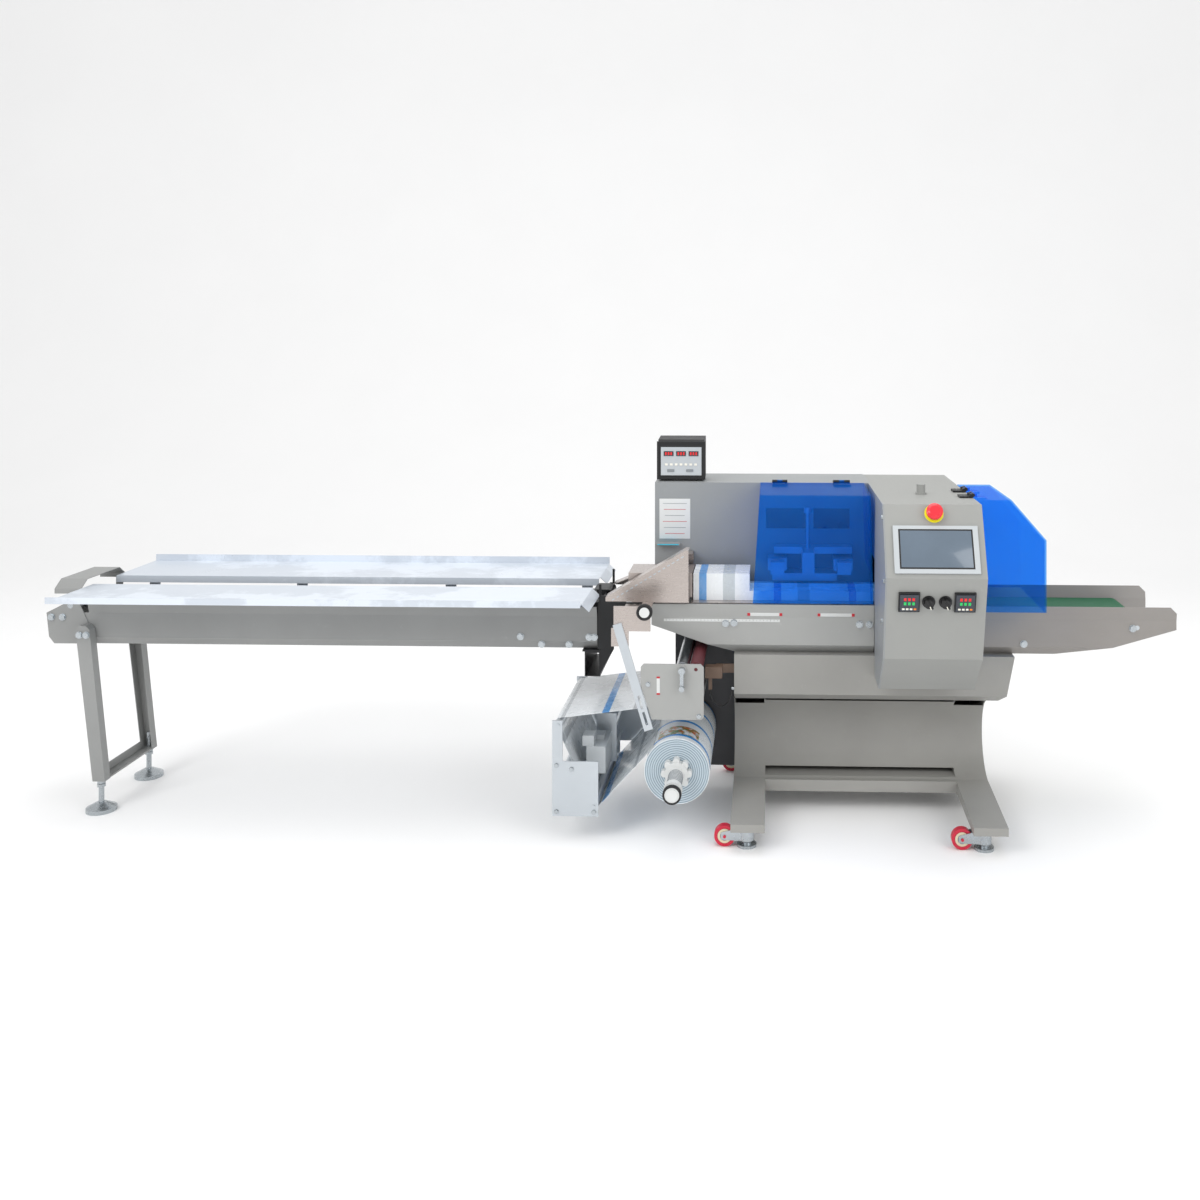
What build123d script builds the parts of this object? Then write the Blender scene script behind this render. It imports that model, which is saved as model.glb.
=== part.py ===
import os
from math import asin, cos, degrees, hypot, pi, radians, sin, tan

from build123d import *

os.makedirs("parts", exist_ok=True)

# main run of the machine: x to the right, y away from the operator, z up from the floor
left_end = -1965.0
right_end = 1967.0
product_y = 100.0
sheet = 2.5            # bent sheet of the troughs and rails
plate = 6.0            # machined and laser-cut plates
skin = 3.0             # cabinet and console walls
seat = 0.4             # clearance between pieces that lie close without touching
run_fit = 0.06         # radial clearance of a journal in its bore
bolt_fit = 0.2         # radial clearance of a screw in its hole

# infeed trough
trough_front = -40.0
trough_rear = 240.0
trough_top = 723.0
trough_bend = 688.0
trough_chin = 601.0
trough_bottom = 572.0
trough_lip = 10.0
trough_chin_run = 30.0
trough_x0 = -1930.0
trough_x1 = -15.0

# infeed end housing and guard
housing_x1 = -1814.0
guard_x0 = -1935.0
guard_x1 = -1839.0
guard_top = 800.0
guard_shoulder = 772.0
guard_foot = 755.0
guard_over = 5.0

# trays
tray_top = 775.0
tray_sheet = 2.0
tray_x0 = -1835.0
tray_x1 = -38.0
tray_width = 290.0
tray_slot = 150.0
tray_rim_up = 16.0
tray_rim_down = 6.0
tray_rim_rear = 25.0
tray_inner_drop = 25.0
tab_width = 40.0
tab_foot = 640.0

# infeed chain and its tail shaft
chain_z = 712.0
chain_radius = 40.0
chain_depth = 8.0
chain_width = 16.0
chain_x0 = -1880.0
chain_x1 = -125.0
chain_shaft_radius = 10.0
slide_rail_gap = 0.5

# infeed legs and feet
leg_top_x = -1815.0
leg_foot_x = -1757.0
leg_top_z = 650.0
leg_foot_z = 107.0
leg_width = 50.0
leg_depth = 36.0
leg_wall = 3.0
foot_pad_radius = 50.0
foot_stud_radius = 9.0
foot_x = leg_foot_x + 17.0
crossbar_height = 34.0

# main bed and stand
bed_x0 = 463.0
bed_x1 = 1418.0
bed_front = -75.0
bed_rear = 440.0
bed_top = 571.0
bed_bottom = 436.0
bed_cut = 36.0
stand_x0 = 459.0
stand_x1 = 1346.0
stand_leg = 110.0
stand_throat_y = 32.0
stand_pinch_y = 147.0
stand_top = 389.0
stand_foot = 112.0
stand_rear = 400.0
toe_front = -340.0
toe_rear = 460.0
toe_tip = 96.0
toe_under = 70.0
beam_front = 10.0
beam_depth = 50.0
beam_bottom = 73.0
beam_rear = 300.0

# levelling casters: the wheel swivels round the screwed-down pad
caster_left_x = 510.0
caster_right_x = 1280.0
caster_front_y = -270.0
caster_rear_y = 400.0
caster_offset = 72.0
wheel_radius = 34.0
wheel_width = 24.0
wheel_lift = 1.0
hub_radius = 24.0
pad_radius = 32.0
pad_height = 9.0
pad_stud_radius = 8.0
arm_sheet = 3.0
arm_gap = 1.5
axle_radius = 5.0

# main rails and table
rail_front = -60.0
rail_rear = 280.0
rail_top = 741.0
rail_bend = 695.0
rail_chin = 601.0
rail_lip = 8.0
rail_chin_run = 30.0
rail_x0 = 177.0
cut_low_x = 462.0
cut_high_z = 667.0
table_top = 743.0
table_front = -54.0

# rear cabinet and console
cabinet_x0 = 165.0
cabinet_front = 190.0
cabinet_rear = 465.0
cabinet_top = 1127.0
side_plate_x = 943.0
side_plate = 6.0
console_width = 308.0
console_top_y = -360.0
console_step = 3.0       # the console roof stands this far above the cabinet
console_top_z = cabinet_top + console_step
console_nose_y = -470.0
console_nose_z = 917.0
console_low_y = -380.0
console_low_z = 644.0
console_chin_y = -218.0
console_chin_z = 501.0
tunnel_front = -66.0
tunnel_rear = 286.0
tunnel_top = 900.0

# operator panel
screen_width = 265.0
screen_height = 153.0
screen_drop = 132.0      # screen centre below the console roof
screen_z = console_top_z - screen_drop
panel_centre_x = 1104.0
estop_drop = 27.0
estop_z = console_top_z - estop_drop
estop_travel = 5.0
estop_radius = 26.0
estop_stem = 11.0
controller_size = 66.0
controller_body = 60.0
controller_depth = 70.0
controller_pitch = 173.0
controls_z = 841.0
knob_pitch = 52.0
knob_radius = 20.5
knob_height = 20.0
knob_shaft = 5.0

# coder display box on the cabinet
display_x0 = 169.0
display_x1 = 348.0
display_front = 230.0
display_depth = 110.0
display_height = 146.0

# see-through covers
acrylic = 5.0
cover_x0 = 527.0
cover_x1 = 939.0
cover_taper = 24.0
cover_front = -112.0
cover_foot_y = -72.0
cover_foot_z = 746.0
cover_lift = 3.0
exit_cover_gap = 4.0
exit_cover_top = 117.0
exit_cover_x1 = 1492.0
exit_cover_slope_z = 994.0
exit_cover_front = -223.0
exit_cover_rear = 170.0
exit_cover_foot = 757.0
hinge_radius = 6.0

# film, reel and unwind unit
film_front = -240.0
film_width = 470.0
film_sheet = 1.0
reel_x = 279.0
reel_z = 228.0
reel_radius = 108.0
core_radius = 38.0
reel_flange = 5.0
reel_shaft_radius = 15.0
reel_nose = -446.0
main_plate_y = 246.0
main_plate_depth = 12.0
main_plate_x0 = 236.0
main_plate_z0 = 75.0
main_plate_z1 = 600.0
unit_front = -266.0
unit_x0 = -130.0
unit_x1 = 4.0
unit_z0 = 86.0
unit_z1 = 266.0
unit_arm_z0 = 165.0
unit_arm_z1 = 298.0
unit_arm_depth = 10.0
roller_radius = 14.0
journal_radius = 6.0
top_roller_x = -110.0
top_roller_z = 383.0
low_roller_x = 7.0
low_roller_z = 118.0
coder_plate_y = -20.0
nip_x = 319.5
nip_z = 566.0
nip_radius = 22.0
nip_gap = 1.6
stay_radius = 9.0
stay_x = nip_x - stay_radius - 1.2
stay_z = 462.0

# film side plate, lever and slotted bar
side_y = -246.0
side_x0 = 160.0
side_x1 = 368.0
side_z0 = 400.0
side_z1 = 583.0
bar_width = 30.0
bar_top_x = 84.0
bar_top_z = 707.0
bar_foot_x = 187.0
bar_foot_z = 366.0

# former
former_x0 = 22.0
former_x1 = 307.0
former_front = -90.0
former_rear = 186.0
former_z0 = 753.0
former_z1 = 929.0
former_sheet = 2.0
throat_front = -14.0
throat_rear = 146.0
throat_top = 836.0
wheel_boss_x = 174.0
wheel_boss_z = 757.0

parts = {}


def block(x0, x1, y0, y1, z0, z1):
    return Pos((x0 + x1) / 2, (y0 + y1) / 2, (z0 + z1) / 2) * Box(x1 - x0, y1 - y0, z1 - z0)


def along_x(points, x0, x1):
    face = make_face(Polyline(*[(x0, y, z) for y, z in points], close=True))
    return extrude(face, x1 - x0, dir=(1, 0, 0))


def along_y(points, y0, y1):
    face = make_face(Polyline(*[(x, y0, z) for x, z in points], close=True))
    return extrude(face, y1 - y0, dir=(0, 1, 0))


def along_z(points, z0, z1):
    face = make_face(Polyline(*[(x, y, z0) for x, y in points], close=True))
    return extrude(face, z1 - z0, dir=(0, 0, 1))


def rod(start, direction, radius, length):
    axis = Plane(origin=start, z_dir=direction)
    return axis * Cylinder(radius, length, align=(Align.CENTER, Align.CENTER, Align.MIN))


def rod_y(x, z, y0, y1, radius):
    return rod((x, y0, z), (0, 1, 0), radius, y1 - y0)


def rod_z(x, y, z0, z1, radius):
    return rod((x, y, z0), (0, 0, 1), radius, z1 - z0)


def strip(points, thick):
    """Outline of a bent sheet that lies on the left of its path."""
    side = []
    count = len(points)
    for i, (a, b) in enumerate(points):
        normals = []
        for j in (i - 1, i):
            if 0 <= j < count - 1:
                da = points[j + 1][0] - points[j][0]
                db = points[j + 1][1] - points[j][1]
                run = hypot(da, db)
                normals.append((-db / run, da / run))
        na = sum(n[0] for n in normals) / len(normals)
        nb = sum(n[1] for n in normals) / len(normals)
        scale = thick / (na * na + nb * nb)
        side.append((a + na * scale, b + nb * scale))
    return list(points) + side[::-1]


def racetrack(x0, x1, z, outer, depth, y0, y1):
    def slab(radius):
        body = block(x0, x1, y0, y1, z - radius, z + radius)
        return body + rod_y(x0, z, y0, y1, radius) + rod_y(x1, z, y0, y1, radius)
    return slab(outer) - slab(outer - depth)


def screw(point, direction, radius, shank):
    """Hexagon-headed screw: head on the surface, shank into the hole."""
    axis = Plane(origin=point, z_dir=direction)
    head = axis * extrude(RegularPolygon(radius * 1.8, 6), radius * 1.2)
    collar = axis * Cylinder(radius * 2.1, radius * 0.3, align=(Align.CENTER, Align.CENTER, Align.MIN))
    stem = axis * Pos(0, 0, -shank) * Cylinder(radius, shank, align=(Align.CENTER, Align.CENTER, Align.MIN))
    return head + collar + stem


screws = []


def fasten(hosts, point, direction, radius, shank):
    screws.append(screw(point, direction, radius, shank))
    back = Plane(origin=point, z_dir=direction) * Pos(0, 0, -shank - 1)
    hole = back * Cylinder(radius + bolt_fit, shank + 1, align=(Align.CENTER, Align.CENTER, Align.MIN))
    for host in hosts:
        parts[host] = parts[host] - hole


# stand
def stand_profile(inset, toes):
    arc = ThreePointArc(
        (0, stand_throat_y + inset, stand_foot + (-inset if toes else inset)),
        (0, stand_pinch_y + inset, (stand_top + stand_foot) / 2),
        (0, stand_throat_y + inset, stand_top - inset),
    )
    start = arc @ 0
    end = arc @ 1
    if toes:
        corners = [
            (stand_rear - inset, stand_top - inset), (stand_rear - inset, stand_foot + 20),
            (toe_rear - inset, toe_tip - inset), (toe_rear - inset, toe_under + inset),
            (toe_front + inset, toe_under + inset), (toe_front + inset, toe_tip - inset),
        ]
    else:
        corners = [(stand_rear - inset, stand_top - inset), (stand_rear - inset, stand_foot + inset)]
    path = Polyline(end, *[(0, y, z) for y, z in corners], start)
    return make_face([arc, path])


def stand_block(inset, toes, x0, x1):
    return Pos(x0, 0, 0) * extrude(stand_profile(inset, toes), x1 - x0, dir=(1, 0, 0))


stand = stand_block(0, False, stand_x0 + stand_leg, stand_x1 - stand_leg)
for x0 in (stand_x0, stand_x1 - stand_leg):
    stand += stand_block(0, True, x0, x0 + stand_leg)
for x0 in (stand_x0, stand_x1 - stand_leg):
    stand -= stand_block(skin, True, x0 + skin, x0 + stand_leg - skin)
stand -= stand_block(skin, False, stand_x0 + stand_leg, stand_x1 - stand_leg)
beam_x0 = stand_x0 + stand_leg
beam_x1 = stand_x1 - stand_leg
for y0 in (beam_front, beam_rear):
    tube = block(beam_x0, beam_x1, y0, y0 + beam_depth, beam_bottom, stand_foot)
    stand += tube - block(beam_x0, beam_x1, y0 + skin, y0 + beam_depth - skin,
                          beam_bottom + skin, stand_foot - skin)
parts["stand_frame"] = stand

# bed
bed_outline = [
    (bed_front, bed_top), (bed_front, bed_bottom), (stand_throat_y, stand_top),
    (bed_rear, stand_top), (bed_rear, bed_top),
]
bed = along_x(bed_outline, bed_x0, bed_x1)
bed -= along_y([(bed_x1, bed_top - 4), (bed_x1 + 1, stand_top - 1), (bed_x1 - bed_cut, stand_top - 1)],
               bed_front - 1, bed_rear + 1)
bed_inside = [
    (bed_front + skin, bed_top - skin), (bed_front + skin, bed_bottom + skin),
    (stand_throat_y, stand_top + skin * 1.2), (bed_rear - skin, stand_top + skin), (bed_rear - skin, bed_top - skin),
]
bed -= along_x(bed_inside, bed_x0 + skin, bed_x1 - bed_cut - skin)
parts["bed_cabinet"] = bed

# dark back plate that carries the film
back_plate = block(main_plate_x0, stand_x0, main_plate_y, main_plate_y + main_plate_depth,
                   main_plate_z0, stand_top)
back_plate += block(main_plate_x0, bed_x0, main_plate_y, main_plate_y + main_plate_depth,
                    stand_top, main_plate_z1)
parts["main_plate"] = back_plate

# infeed trough
trough_path = [
    (trough_rear + trough_lip, trough_top), (trough_rear, trough_bend), (trough_rear, trough_chin),
    (trough_rear - trough_chin_run, trough_bottom), (trough_front + trough_chin_run, trough_bottom),
    (trough_front, trough_chin), (trough_front, trough_bend), (trough_front - trough_lip, trough_top),
]
trough = along_x(strip(trough_path[::-1], sheet), trough_x0, trough_x1)
trough -= block(trough_x0 - 1, housing_x1 + seat, trough_front - 20, trough_rear + 20,
                trough_bend, trough_top + 1)
trough -= along_y([(trough_x0 - 1, trough_bottom - 1), (trough_x0 + 20, trough_bottom - 1),
                   (trough_x0 - 1, trough_chin + 10)], trough_front - 20, trough_rear + 20)
parts["infeed_trough"] = trough

# infeed end housing
housing_outline = [
    (left_end, 687), (left_end + 74, trough_top + 1), (left_end + 117, trough_top + 1),
    (housing_x1, 650), (housing_x1, trough_bottom + 7), (left_end + 28, trough_bottom + 7),
    (left_end + 9, 603),
]
housing = along_y(housing_outline, trough_front - skin, trough_front)
housing += along_y(housing_outline, trough_rear, trough_rear + skin)
end_path = [(left_end + 74, trough_top + 1), (left_end, 687), (left_end + 9, 603),
            (left_end + 28, trough_bottom + 7)]
housing += along_y(strip(end_path, sheet), trough_front, trough_rear)
for y0 in (trough_front - skin - 1, trough_rear - 1):
    housing -= rod_y(chain_x0, chain_z, y0, y0 + skin + 2, chain_shaft_radius + run_fit)
housing -= along_x([(trough_front - 0.1, trough_bottom - 1), (trough_front - 0.1, trough_chin),
                    (trough_front + trough_chin_run, trough_bottom - 1)], housing_x1, housing_x1 + 1)
housing -= block(chain_x0 - chain_radius - 8, chain_x0 + 60, product_y - 30, product_y + 30,
                 chain_z - 24, trough_top + 6)
parts["infeed_end_housing"] = housing

# guard over the tail sprocket
guard_path = [
    (trough_front - guard_over, guard_foot), (trough_front - guard_over, guard_shoulder),
    (trough_front + 35, guard_top), (trough_rear - 35, guard_top),
    (trough_rear + guard_over, guard_shoulder), (trough_rear + guard_over, guard_foot),
]
guard = along_x(strip(guard_path, -tray_sheet), guard_x0, guard_x1)
for wall, inward in ((trough_front + sheet, 1), (trough_rear - sheet, -1)):
    inner = wall + inward * skin
    outer = trough_front - guard_over if inward > 0 else trough_rear + guard_over
    guard += block(guard_x0 + 66, guard_x0 + 92, min(wall, inner), max(wall, inner), tab_foot, guard_foot)
    guard += block(guard_x0 + 66, guard_x0 + 92, min(outer, inner), max(outer, inner),
                   guard_foot, guard_foot + tray_sheet)
parts["infeed_end_guard"] = guard

# trays
tray_tab_xs = [-1740.0, -1180.0, -620.0, -110.0]


def tray(y_outer, y_inner, rim_up):
    way = 1 if y_inner > y_outer else -1
    low = min(y_outer, y_inner)
    high = max(y_outer, y_inner)
    body = block(tray_x0, tray_x1, low, high, tray_top - tray_sheet, tray_top)
    rim = sorted((y_outer, y_outer + way * tray_sheet))
    body += block(tray_x0, tray_x1, rim[0], rim[1], tray_top - tray_rim_down, tray_top + rim_up)
    lip = sorted((y_inner, y_inner - way * tray_sheet))
    body += block(tray_x0, tray_x1, lip[0], lip[1], tray_top - tray_inner_drop, tray_top)
    flap = [(tray_x1, tray_top), (tray_x1 + 26, tray_top - 24)]
    body += along_y(strip(flap, -tray_sheet), low + 30, high - 12)
    wall = trough_front + sheet if way > 0 else trough_rear - sheet
    tab = sorted((wall, wall + way * skin))
    for x in tray_tab_xs:
        body += block(x, x + tab_width, tab[0], tab[1], tab_foot, tray_top - tray_sheet)
    return body


slot_front = product_y - tray_slot / 2
slot_rear = product_y + tray_slot / 2
parts["tray_front"] = tray(slot_front - tray_width, slot_front, tray_rim_up)
parts["tray_rear"] = tray(slot_rear + tray_width, slot_rear, tray_rim_rear)

# infeed chain, its support rail and tail shaft
chain_y0 = product_y - chain_width / 2
chain_y1 = product_y + chain_width / 2
chain = racetrack(chain_x0, chain_x1, chain_z, chain_radius, chain_depth, chain_y0, chain_y1)
chain_bed_top = chain_z + chain_radius - chain_depth
carrier = block(chain_x0 + 60, chain_x1 - 60, chain_y0 + 2, chain_y1 - 2, chain_bed_top - 12, chain_bed_top)
for x in tray_tab_xs[1:3]:
    carrier += block(x, x + tab_width, chain_y0 + 4, chain_y1 - 4, trough_bottom + sheet,
                     chain_z - chain_radius - slide_rail_gap)
    carrier += block(x, x + tab_width, chain_y1, chain_y1 + skin, trough_bottom + sheet, chain_bed_top)
    carrier += block(x, x + tab_width, chain_y1 - 2, chain_y1 + skin, chain_bed_top - 12, chain_bed_top)
parts["infeed_chain"] = chain + carrier

sprocket_radius = chain_radius - chain_depth - slide_rail_gap
tail = rod_y(chain_x0, chain_z, trough_front - skin, trough_rear + skin, chain_shaft_radius)
tail += rod_y(chain_x0, chain_z, chain_y0 + 1, chain_y1 - 1, sprocket_radius)
tail += rod_y(chain_x0, chain_z, chain_y0 - 8, chain_y1 + 8, sprocket_radius * 0.6)
parts["chain_tail_shaft"] = tail

# infeed leg frame and feet
lean = (leg_foot_x - leg_top_x) / (leg_top_z - leg_foot_z)


leg_run = leg_top_z - 14 - leg_foot_z


def leg_edge(z, way):
    part_up = (z - leg_foot_z) / leg_run
    foot = leg_foot_x + way * (leg_width / 2 - 3)
    head = leg_top_x + way * leg_width / 2
    return foot + (head - foot) * part_up


def leg(y_face, way):
    outline = [
        (leg_edge(leg_top_z - 14, -1), leg_top_z - 14), (leg_top_x - leg_width / 2 + 14, leg_top_z),
        (leg_top_x + leg_width / 2 - 14, leg_top_z), (leg_edge(leg_top_z - 14, 1), leg_top_z - 14),
        (leg_edge(leg_foot_z, 1), leg_foot_z), (leg_edge(leg_foot_z, -1), leg_foot_z),
    ]
    y0, y1 = sorted((y_face, y_face + way * leg_depth))
    body = along_y(outline, y0, y1)
    hollow_top = trough_bottom - 8
    hollow_foot = leg_foot_z + 6
    inside = [
        (leg_edge(hollow_foot, -1) + leg_wall, hollow_foot), (leg_edge(hollow_foot, 1) - leg_wall, hollow_foot),
        (leg_edge(hollow_top, 1) - leg_wall, hollow_top), (leg_edge(hollow_top, -1) + leg_wall, hollow_top),
    ]
    inner0, inner1 = sorted((y_face - way * 1, y_face + way * (leg_depth - leg_wall)))
    return body - along_y(inside, inner0, inner1)


leg_front_face = trough_front - skin
legs = leg(leg_front_face, -1) + leg(trough_rear + skin, 1)
bar_x0 = leg_foot_x - leg_width / 2 + 6
bar_x1 = leg_foot_x + leg_width / 2 - 6
foot_front_y = leg_front_face - leg_depth / 2
foot_rear_y = trough_rear + skin + leg_depth / 2
legs += block(bar_x0, bar_x1, leg_front_face - leg_depth + leg_wall, trough_rear + skin + leg_depth - leg_wall,
              leg_foot_z, leg_foot_z + leg_wall * 2)
legs += block(bar_x0, bar_x0 + leg_wall, leg_front_face, trough_rear + skin,
              leg_foot_z, leg_foot_z + crossbar_height)
for y in (foot_front_y, foot_rear_y):
    legs -= rod_z(leg_foot_x, y, leg_foot_z - 1, leg_foot_z + 40, foot_stud_radius + bolt_fit)
parts["infeed_leg_frame"] = legs


def screw_foot(x, y, pad, height, stud, top, nut_z):
    base = rod_z(x, y, 0, height * 0.45, pad)
    cone = Pos(x, y, height * 0.45) * Cone(pad, pad * 0.35, height * 0.55,
                                          align=(Align.CENTER, Align.CENTER, Align.MIN))
    nut = Pos(x, y, nut_z) * extrude(RegularPolygon(stud * 1.7, 6), stud)
    return base + cone + rod_z(x, y, height * 0.5, top, stud) + nut


feet = screw_foot(leg_foot_x, foot_front_y, foot_pad_radius, 30, foot_stud_radius, 150, leg_foot_z - 22)
feet += screw_foot(leg_foot_x, foot_rear_y, foot_pad_radius, 30, foot_stud_radius, 168, leg_foot_z - 22)
feet_nut_z = leg_foot_z - foot_stud_radius
for y in (foot_front_y, foot_rear_y):
    feet += Pos(leg_foot_x, y, feet_nut_z) * extrude(RegularPolygon(foot_stud_radius * 1.7, 6),
                                                     foot_stud_radius)

# casters
caster_spots = {
    "front_left": (caster_left_x, caster_front_y), "front_right": (caster_right_x, caster_front_y),
    "rear_left": (caster_left_x, caster_rear_y), "rear_right": (caster_right_x, caster_rear_y),
}
wheel_z = wheel_radius + wheel_lift
swivel_z0 = pad_height + 12
swivel_z1 = toe_under - 0.5
arm_y = wheel_width / 2 + arm_gap
for name, (cx, cy) in caster_spots.items():
    wx = cx - caster_offset
    pad = rod_z(cx, cy, 0, pad_height, pad_radius)
    pad += rod_z(cx, cy, pad_height, pad_height + 6, pad_stud_radius * 1.9)
    pad += rod_z(cx, cy, pad_height, toe_under, pad_stud_radius)
    feet += pad
    fork = rod_z(cx, cy, swivel_z0, swivel_z1, 24)
    fork += rod_z(cx, cy, swivel_z1 - 8, swivel_z1, 34)
    for side in (-1, 1):
        y0, y1 = sorted((cy + side * arm_y, cy + side * (arm_y + arm_sheet)))
        cheek = along_y([(cx + 6, swivel_z0), (cx + 6, swivel_z1 - 8), (cx - 30, swivel_z1 - 8),
                         (wx - 12, wheel_z + 12), (wx - 12, wheel_z - 10), (wx + 14, wheel_z - 12)], y0, y1)
        fork += cheek
    fork -= rod_z(cx, cy, swivel_z0 - 1, swivel_z1 + 1, pad_stud_radius + run_fit)
    fork -= rod_y(wx, wheel_z, cy - 40, cy + 40, axle_radius + run_fit)
    parts["caster_fork_" + name] = fork
    wheel = rod_y(wx, wheel_z, cy - wheel_width / 2, cy + wheel_width / 2, wheel_radius)
    groove = rod_y(wx, wheel_z, cy - wheel_width / 2, cy - wheel_width / 2 + 3, hub_radius)
    wheel = wheel - groove - mirror(groove, Plane.XZ.offset(-cy))
    wheel += rod_y(wx, wheel_z, cy - wheel_width / 2 - arm_gap + 0.2, cy + wheel_width / 2 + arm_gap - 0.2, 11)
    wheel += rod_y(wx, wheel_z, cy - arm_y - arm_sheet - 3, cy + arm_y + arm_sheet + 3, axle_radius)
    parts["caster_wheel_" + name] = wheel
parts["levelling_feet"] = feet

# coupling between infeed and main machine
cheek_outline = [
    (trough_x1 - 45, trough_chin + 6), (trough_x1 - 45, trough_bend - 2), (trough_x1 + 1, trough_bend - 2),
    (trough_x1 + 3, 738), (rail_x0 + 40, 738), (rail_x0 + 40, 690), (60, 690), (48, 600), (30, 575),
    (trough_x1 + 2, 575), (trough_x1 + 2, trough_chin + 6),
]
coupling = along_y(cheek_outline, trough_front + sheet, trough_front + sheet + plate)
coupling += along_y(cheek_outline, cabinet_front - seat - plate, cabinet_front - seat)
coupling += block(rail_x0 + 8, rail_x0 + 40, rail_front + sheet, trough_front + sheet, 692, 736)
coupling += block(rail_x0 - 60, rail_x0 - 45, trough_front + sheet, cabinet_front - seat, 700, 730)
coupling += block(2, 17, trough_front + sheet, cabinet_front - seat, 590, 620)
box_tube = block(-58, -4, trough_front + 2, trough_rear - 2, 480, 566)
box_tube -= block(-54, -8, trough_front + 1, trough_rear - 1, 484, 562)
box_tube += block(-66, 2, trough_front + 2, trough_rear - 2, 566, trough_bottom)
gusset = [(-4, 490), (44, 575), (44, 600), (2, 600), (-4, 572)]
box_tube += along_y(gusset, trough_front + sheet, trough_front + sheet + plate)
box_tube += along_y(gusset, cabinet_front - seat - plate, cabinet_front - seat)
coupling += block(-8, 0, trough_front + sheet, trough_front + sheet + plate, 730, 800)
coupling += block(10, 18, cabinet_front - seat - plate, cabinet_front - seat, 730, 809)
parts["coupling_bracket"] = coupling + box_tube

transfer_z = 748.0
transfer_r = 16.0
transfer_shaft_x = 7.0
belt_y0 = product_y - 55
belt_y1 = product_y + 55
transfer = racetrack(-30, 12, transfer_z, transfer_r, 3, belt_y0, belt_y1)
transfer += block(-28, 10, belt_y0 + 4, belt_y1 - 4, transfer_z - 12.8, transfer_z + 12.8)
transfer += rod_y(transfer_shaft_x, transfer_z, trough_front + sheet + plate, cabinet_front - seat - plate, 6)
for y0 in (trough_front + sheet, cabinet_front - seat - plate):
    parts["coupling_bracket"] += block(0, 18, y0, y0 + plate, 730, transfer_z + 12)
parts["coupling_bracket"] += transfer

# front rail, table and outfeed trough
rail_path = [
    (rail_front + rail_chin_run, bed_top), (rail_front, rail_chin), (rail_front, rail_bend),
    (rail_front - rail_lip, rail_top),
]
rail_x1 = side_plate_x - seat
rail = along_x(strip(rail_path, -sheet), rail_x0, rail_x1)
rail += block(bed_x0 + 2, rail_x1, rail_front + rail_chin_run, rail_front + rail_chin_run + 30,
              bed_top, bed_top + sheet)
rail -= along_y([(rail_x0 - 1, bed_top - 1), (cut_low_x, bed_top - 1), (rail_x0 - 1, cut_high_z)],
                rail_front - 40, rail_front + 80)
parts["bed_rail_front"] = rail

table = block(former_x1 + 5, rail_x1, table_front, cabinet_front - seat, table_top - 3, table_top)
for x in (former_x1 + 60, 640.0, rail_x1 - 60):
    table += block(x, x + skin, rail_front + rail_chin_run + 32, cabinet_front - seat, bed_top, table_top - 3)
table -= block(former_x1, bed_x0 + 2, table_front - 1, cabinet_front, bed_top - 1, cut_high_z + 4)
parts["bed_table"] = table

outfeed_x0 = side_plate_x + side_plate + console_width - 70
outfeed_path = [
    (rail_rear + rail_lip, rail_top), (rail_rear, rail_bend), (rail_rear, rail_chin),
    (rail_rear - rail_chin_run, bed_top), (rail_front + rail_chin_run, bed_top),
    (rail_front, rail_chin), (rail_front, rail_bend), (rail_front - rail_lip, rail_top),
]
outfeed = along_x(strip(outfeed_path[::-1], sheet), outfeed_x0, right_end)
outfeed -= along_y([(1555, bed_top - 1), (1753, 601), (right_end + 1, 664), (right_end + 1, bed_top - 1)],
                   rail_front - 40, rail_rear + 40)
outfeed -= along_y([(right_end - 22, rail_top + 1), (right_end + 1, rail_top + 1), (right_end + 1, rail_top - 22)],
                   rail_front - 40, rail_rear + 40)
belt_top = 700.0
outfeed_belt_r = 30.0
belt_end_x = 1835.0
belt_start_x = outfeed_x0 + 40
cross_xs = (1300.0, 1560.0, 1740.0)
belt_front = rail_front + sheet + 14
belt_rear = rail_rear - sheet - 14
for x in cross_xs:
    outfeed += block(x, x + 20, rail_front + sheet, rail_rear - sheet,
                     belt_top - outfeed_belt_r - 10, belt_top - outfeed_belt_r + 4)
parts["outfeed_trough"] = outfeed

belt_z = belt_top - outfeed_belt_r
belt = racetrack(belt_start_x, belt_end_x, belt_z, outfeed_belt_r, 3, belt_front, belt_rear)
slide_bed = block(belt_start_x + 40, belt_end_x - 40, belt_front + 6, belt_rear - 6,
                  belt_z + outfeed_belt_r - 3 - 4, belt_z + outfeed_belt_r - 3)
parts["outfeed_belt"] = belt + slide_bed
for x in cross_xs:
    parts["outfeed_belt"] -= block(x - 1, x + 21, belt_front - 1, belt_rear + 1, belt_z - 11, belt_z + 5)

end_roller = rod_y(belt_end_x, belt_z, belt_front + 2, belt_rear - 2, outfeed_belt_r - 3 - slide_rail_gap)
end_roller += rod_y(belt_end_x, belt_z, rail_front, rail_rear, 8)
parts["belt_end_roller"] = end_roller
for y in (rail_front, rail_rear - sheet):
    parts["outfeed_trough"] -= rod_y(belt_end_x, belt_z, y - 1, y + sheet + 1, 8 + run_fit)

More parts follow.
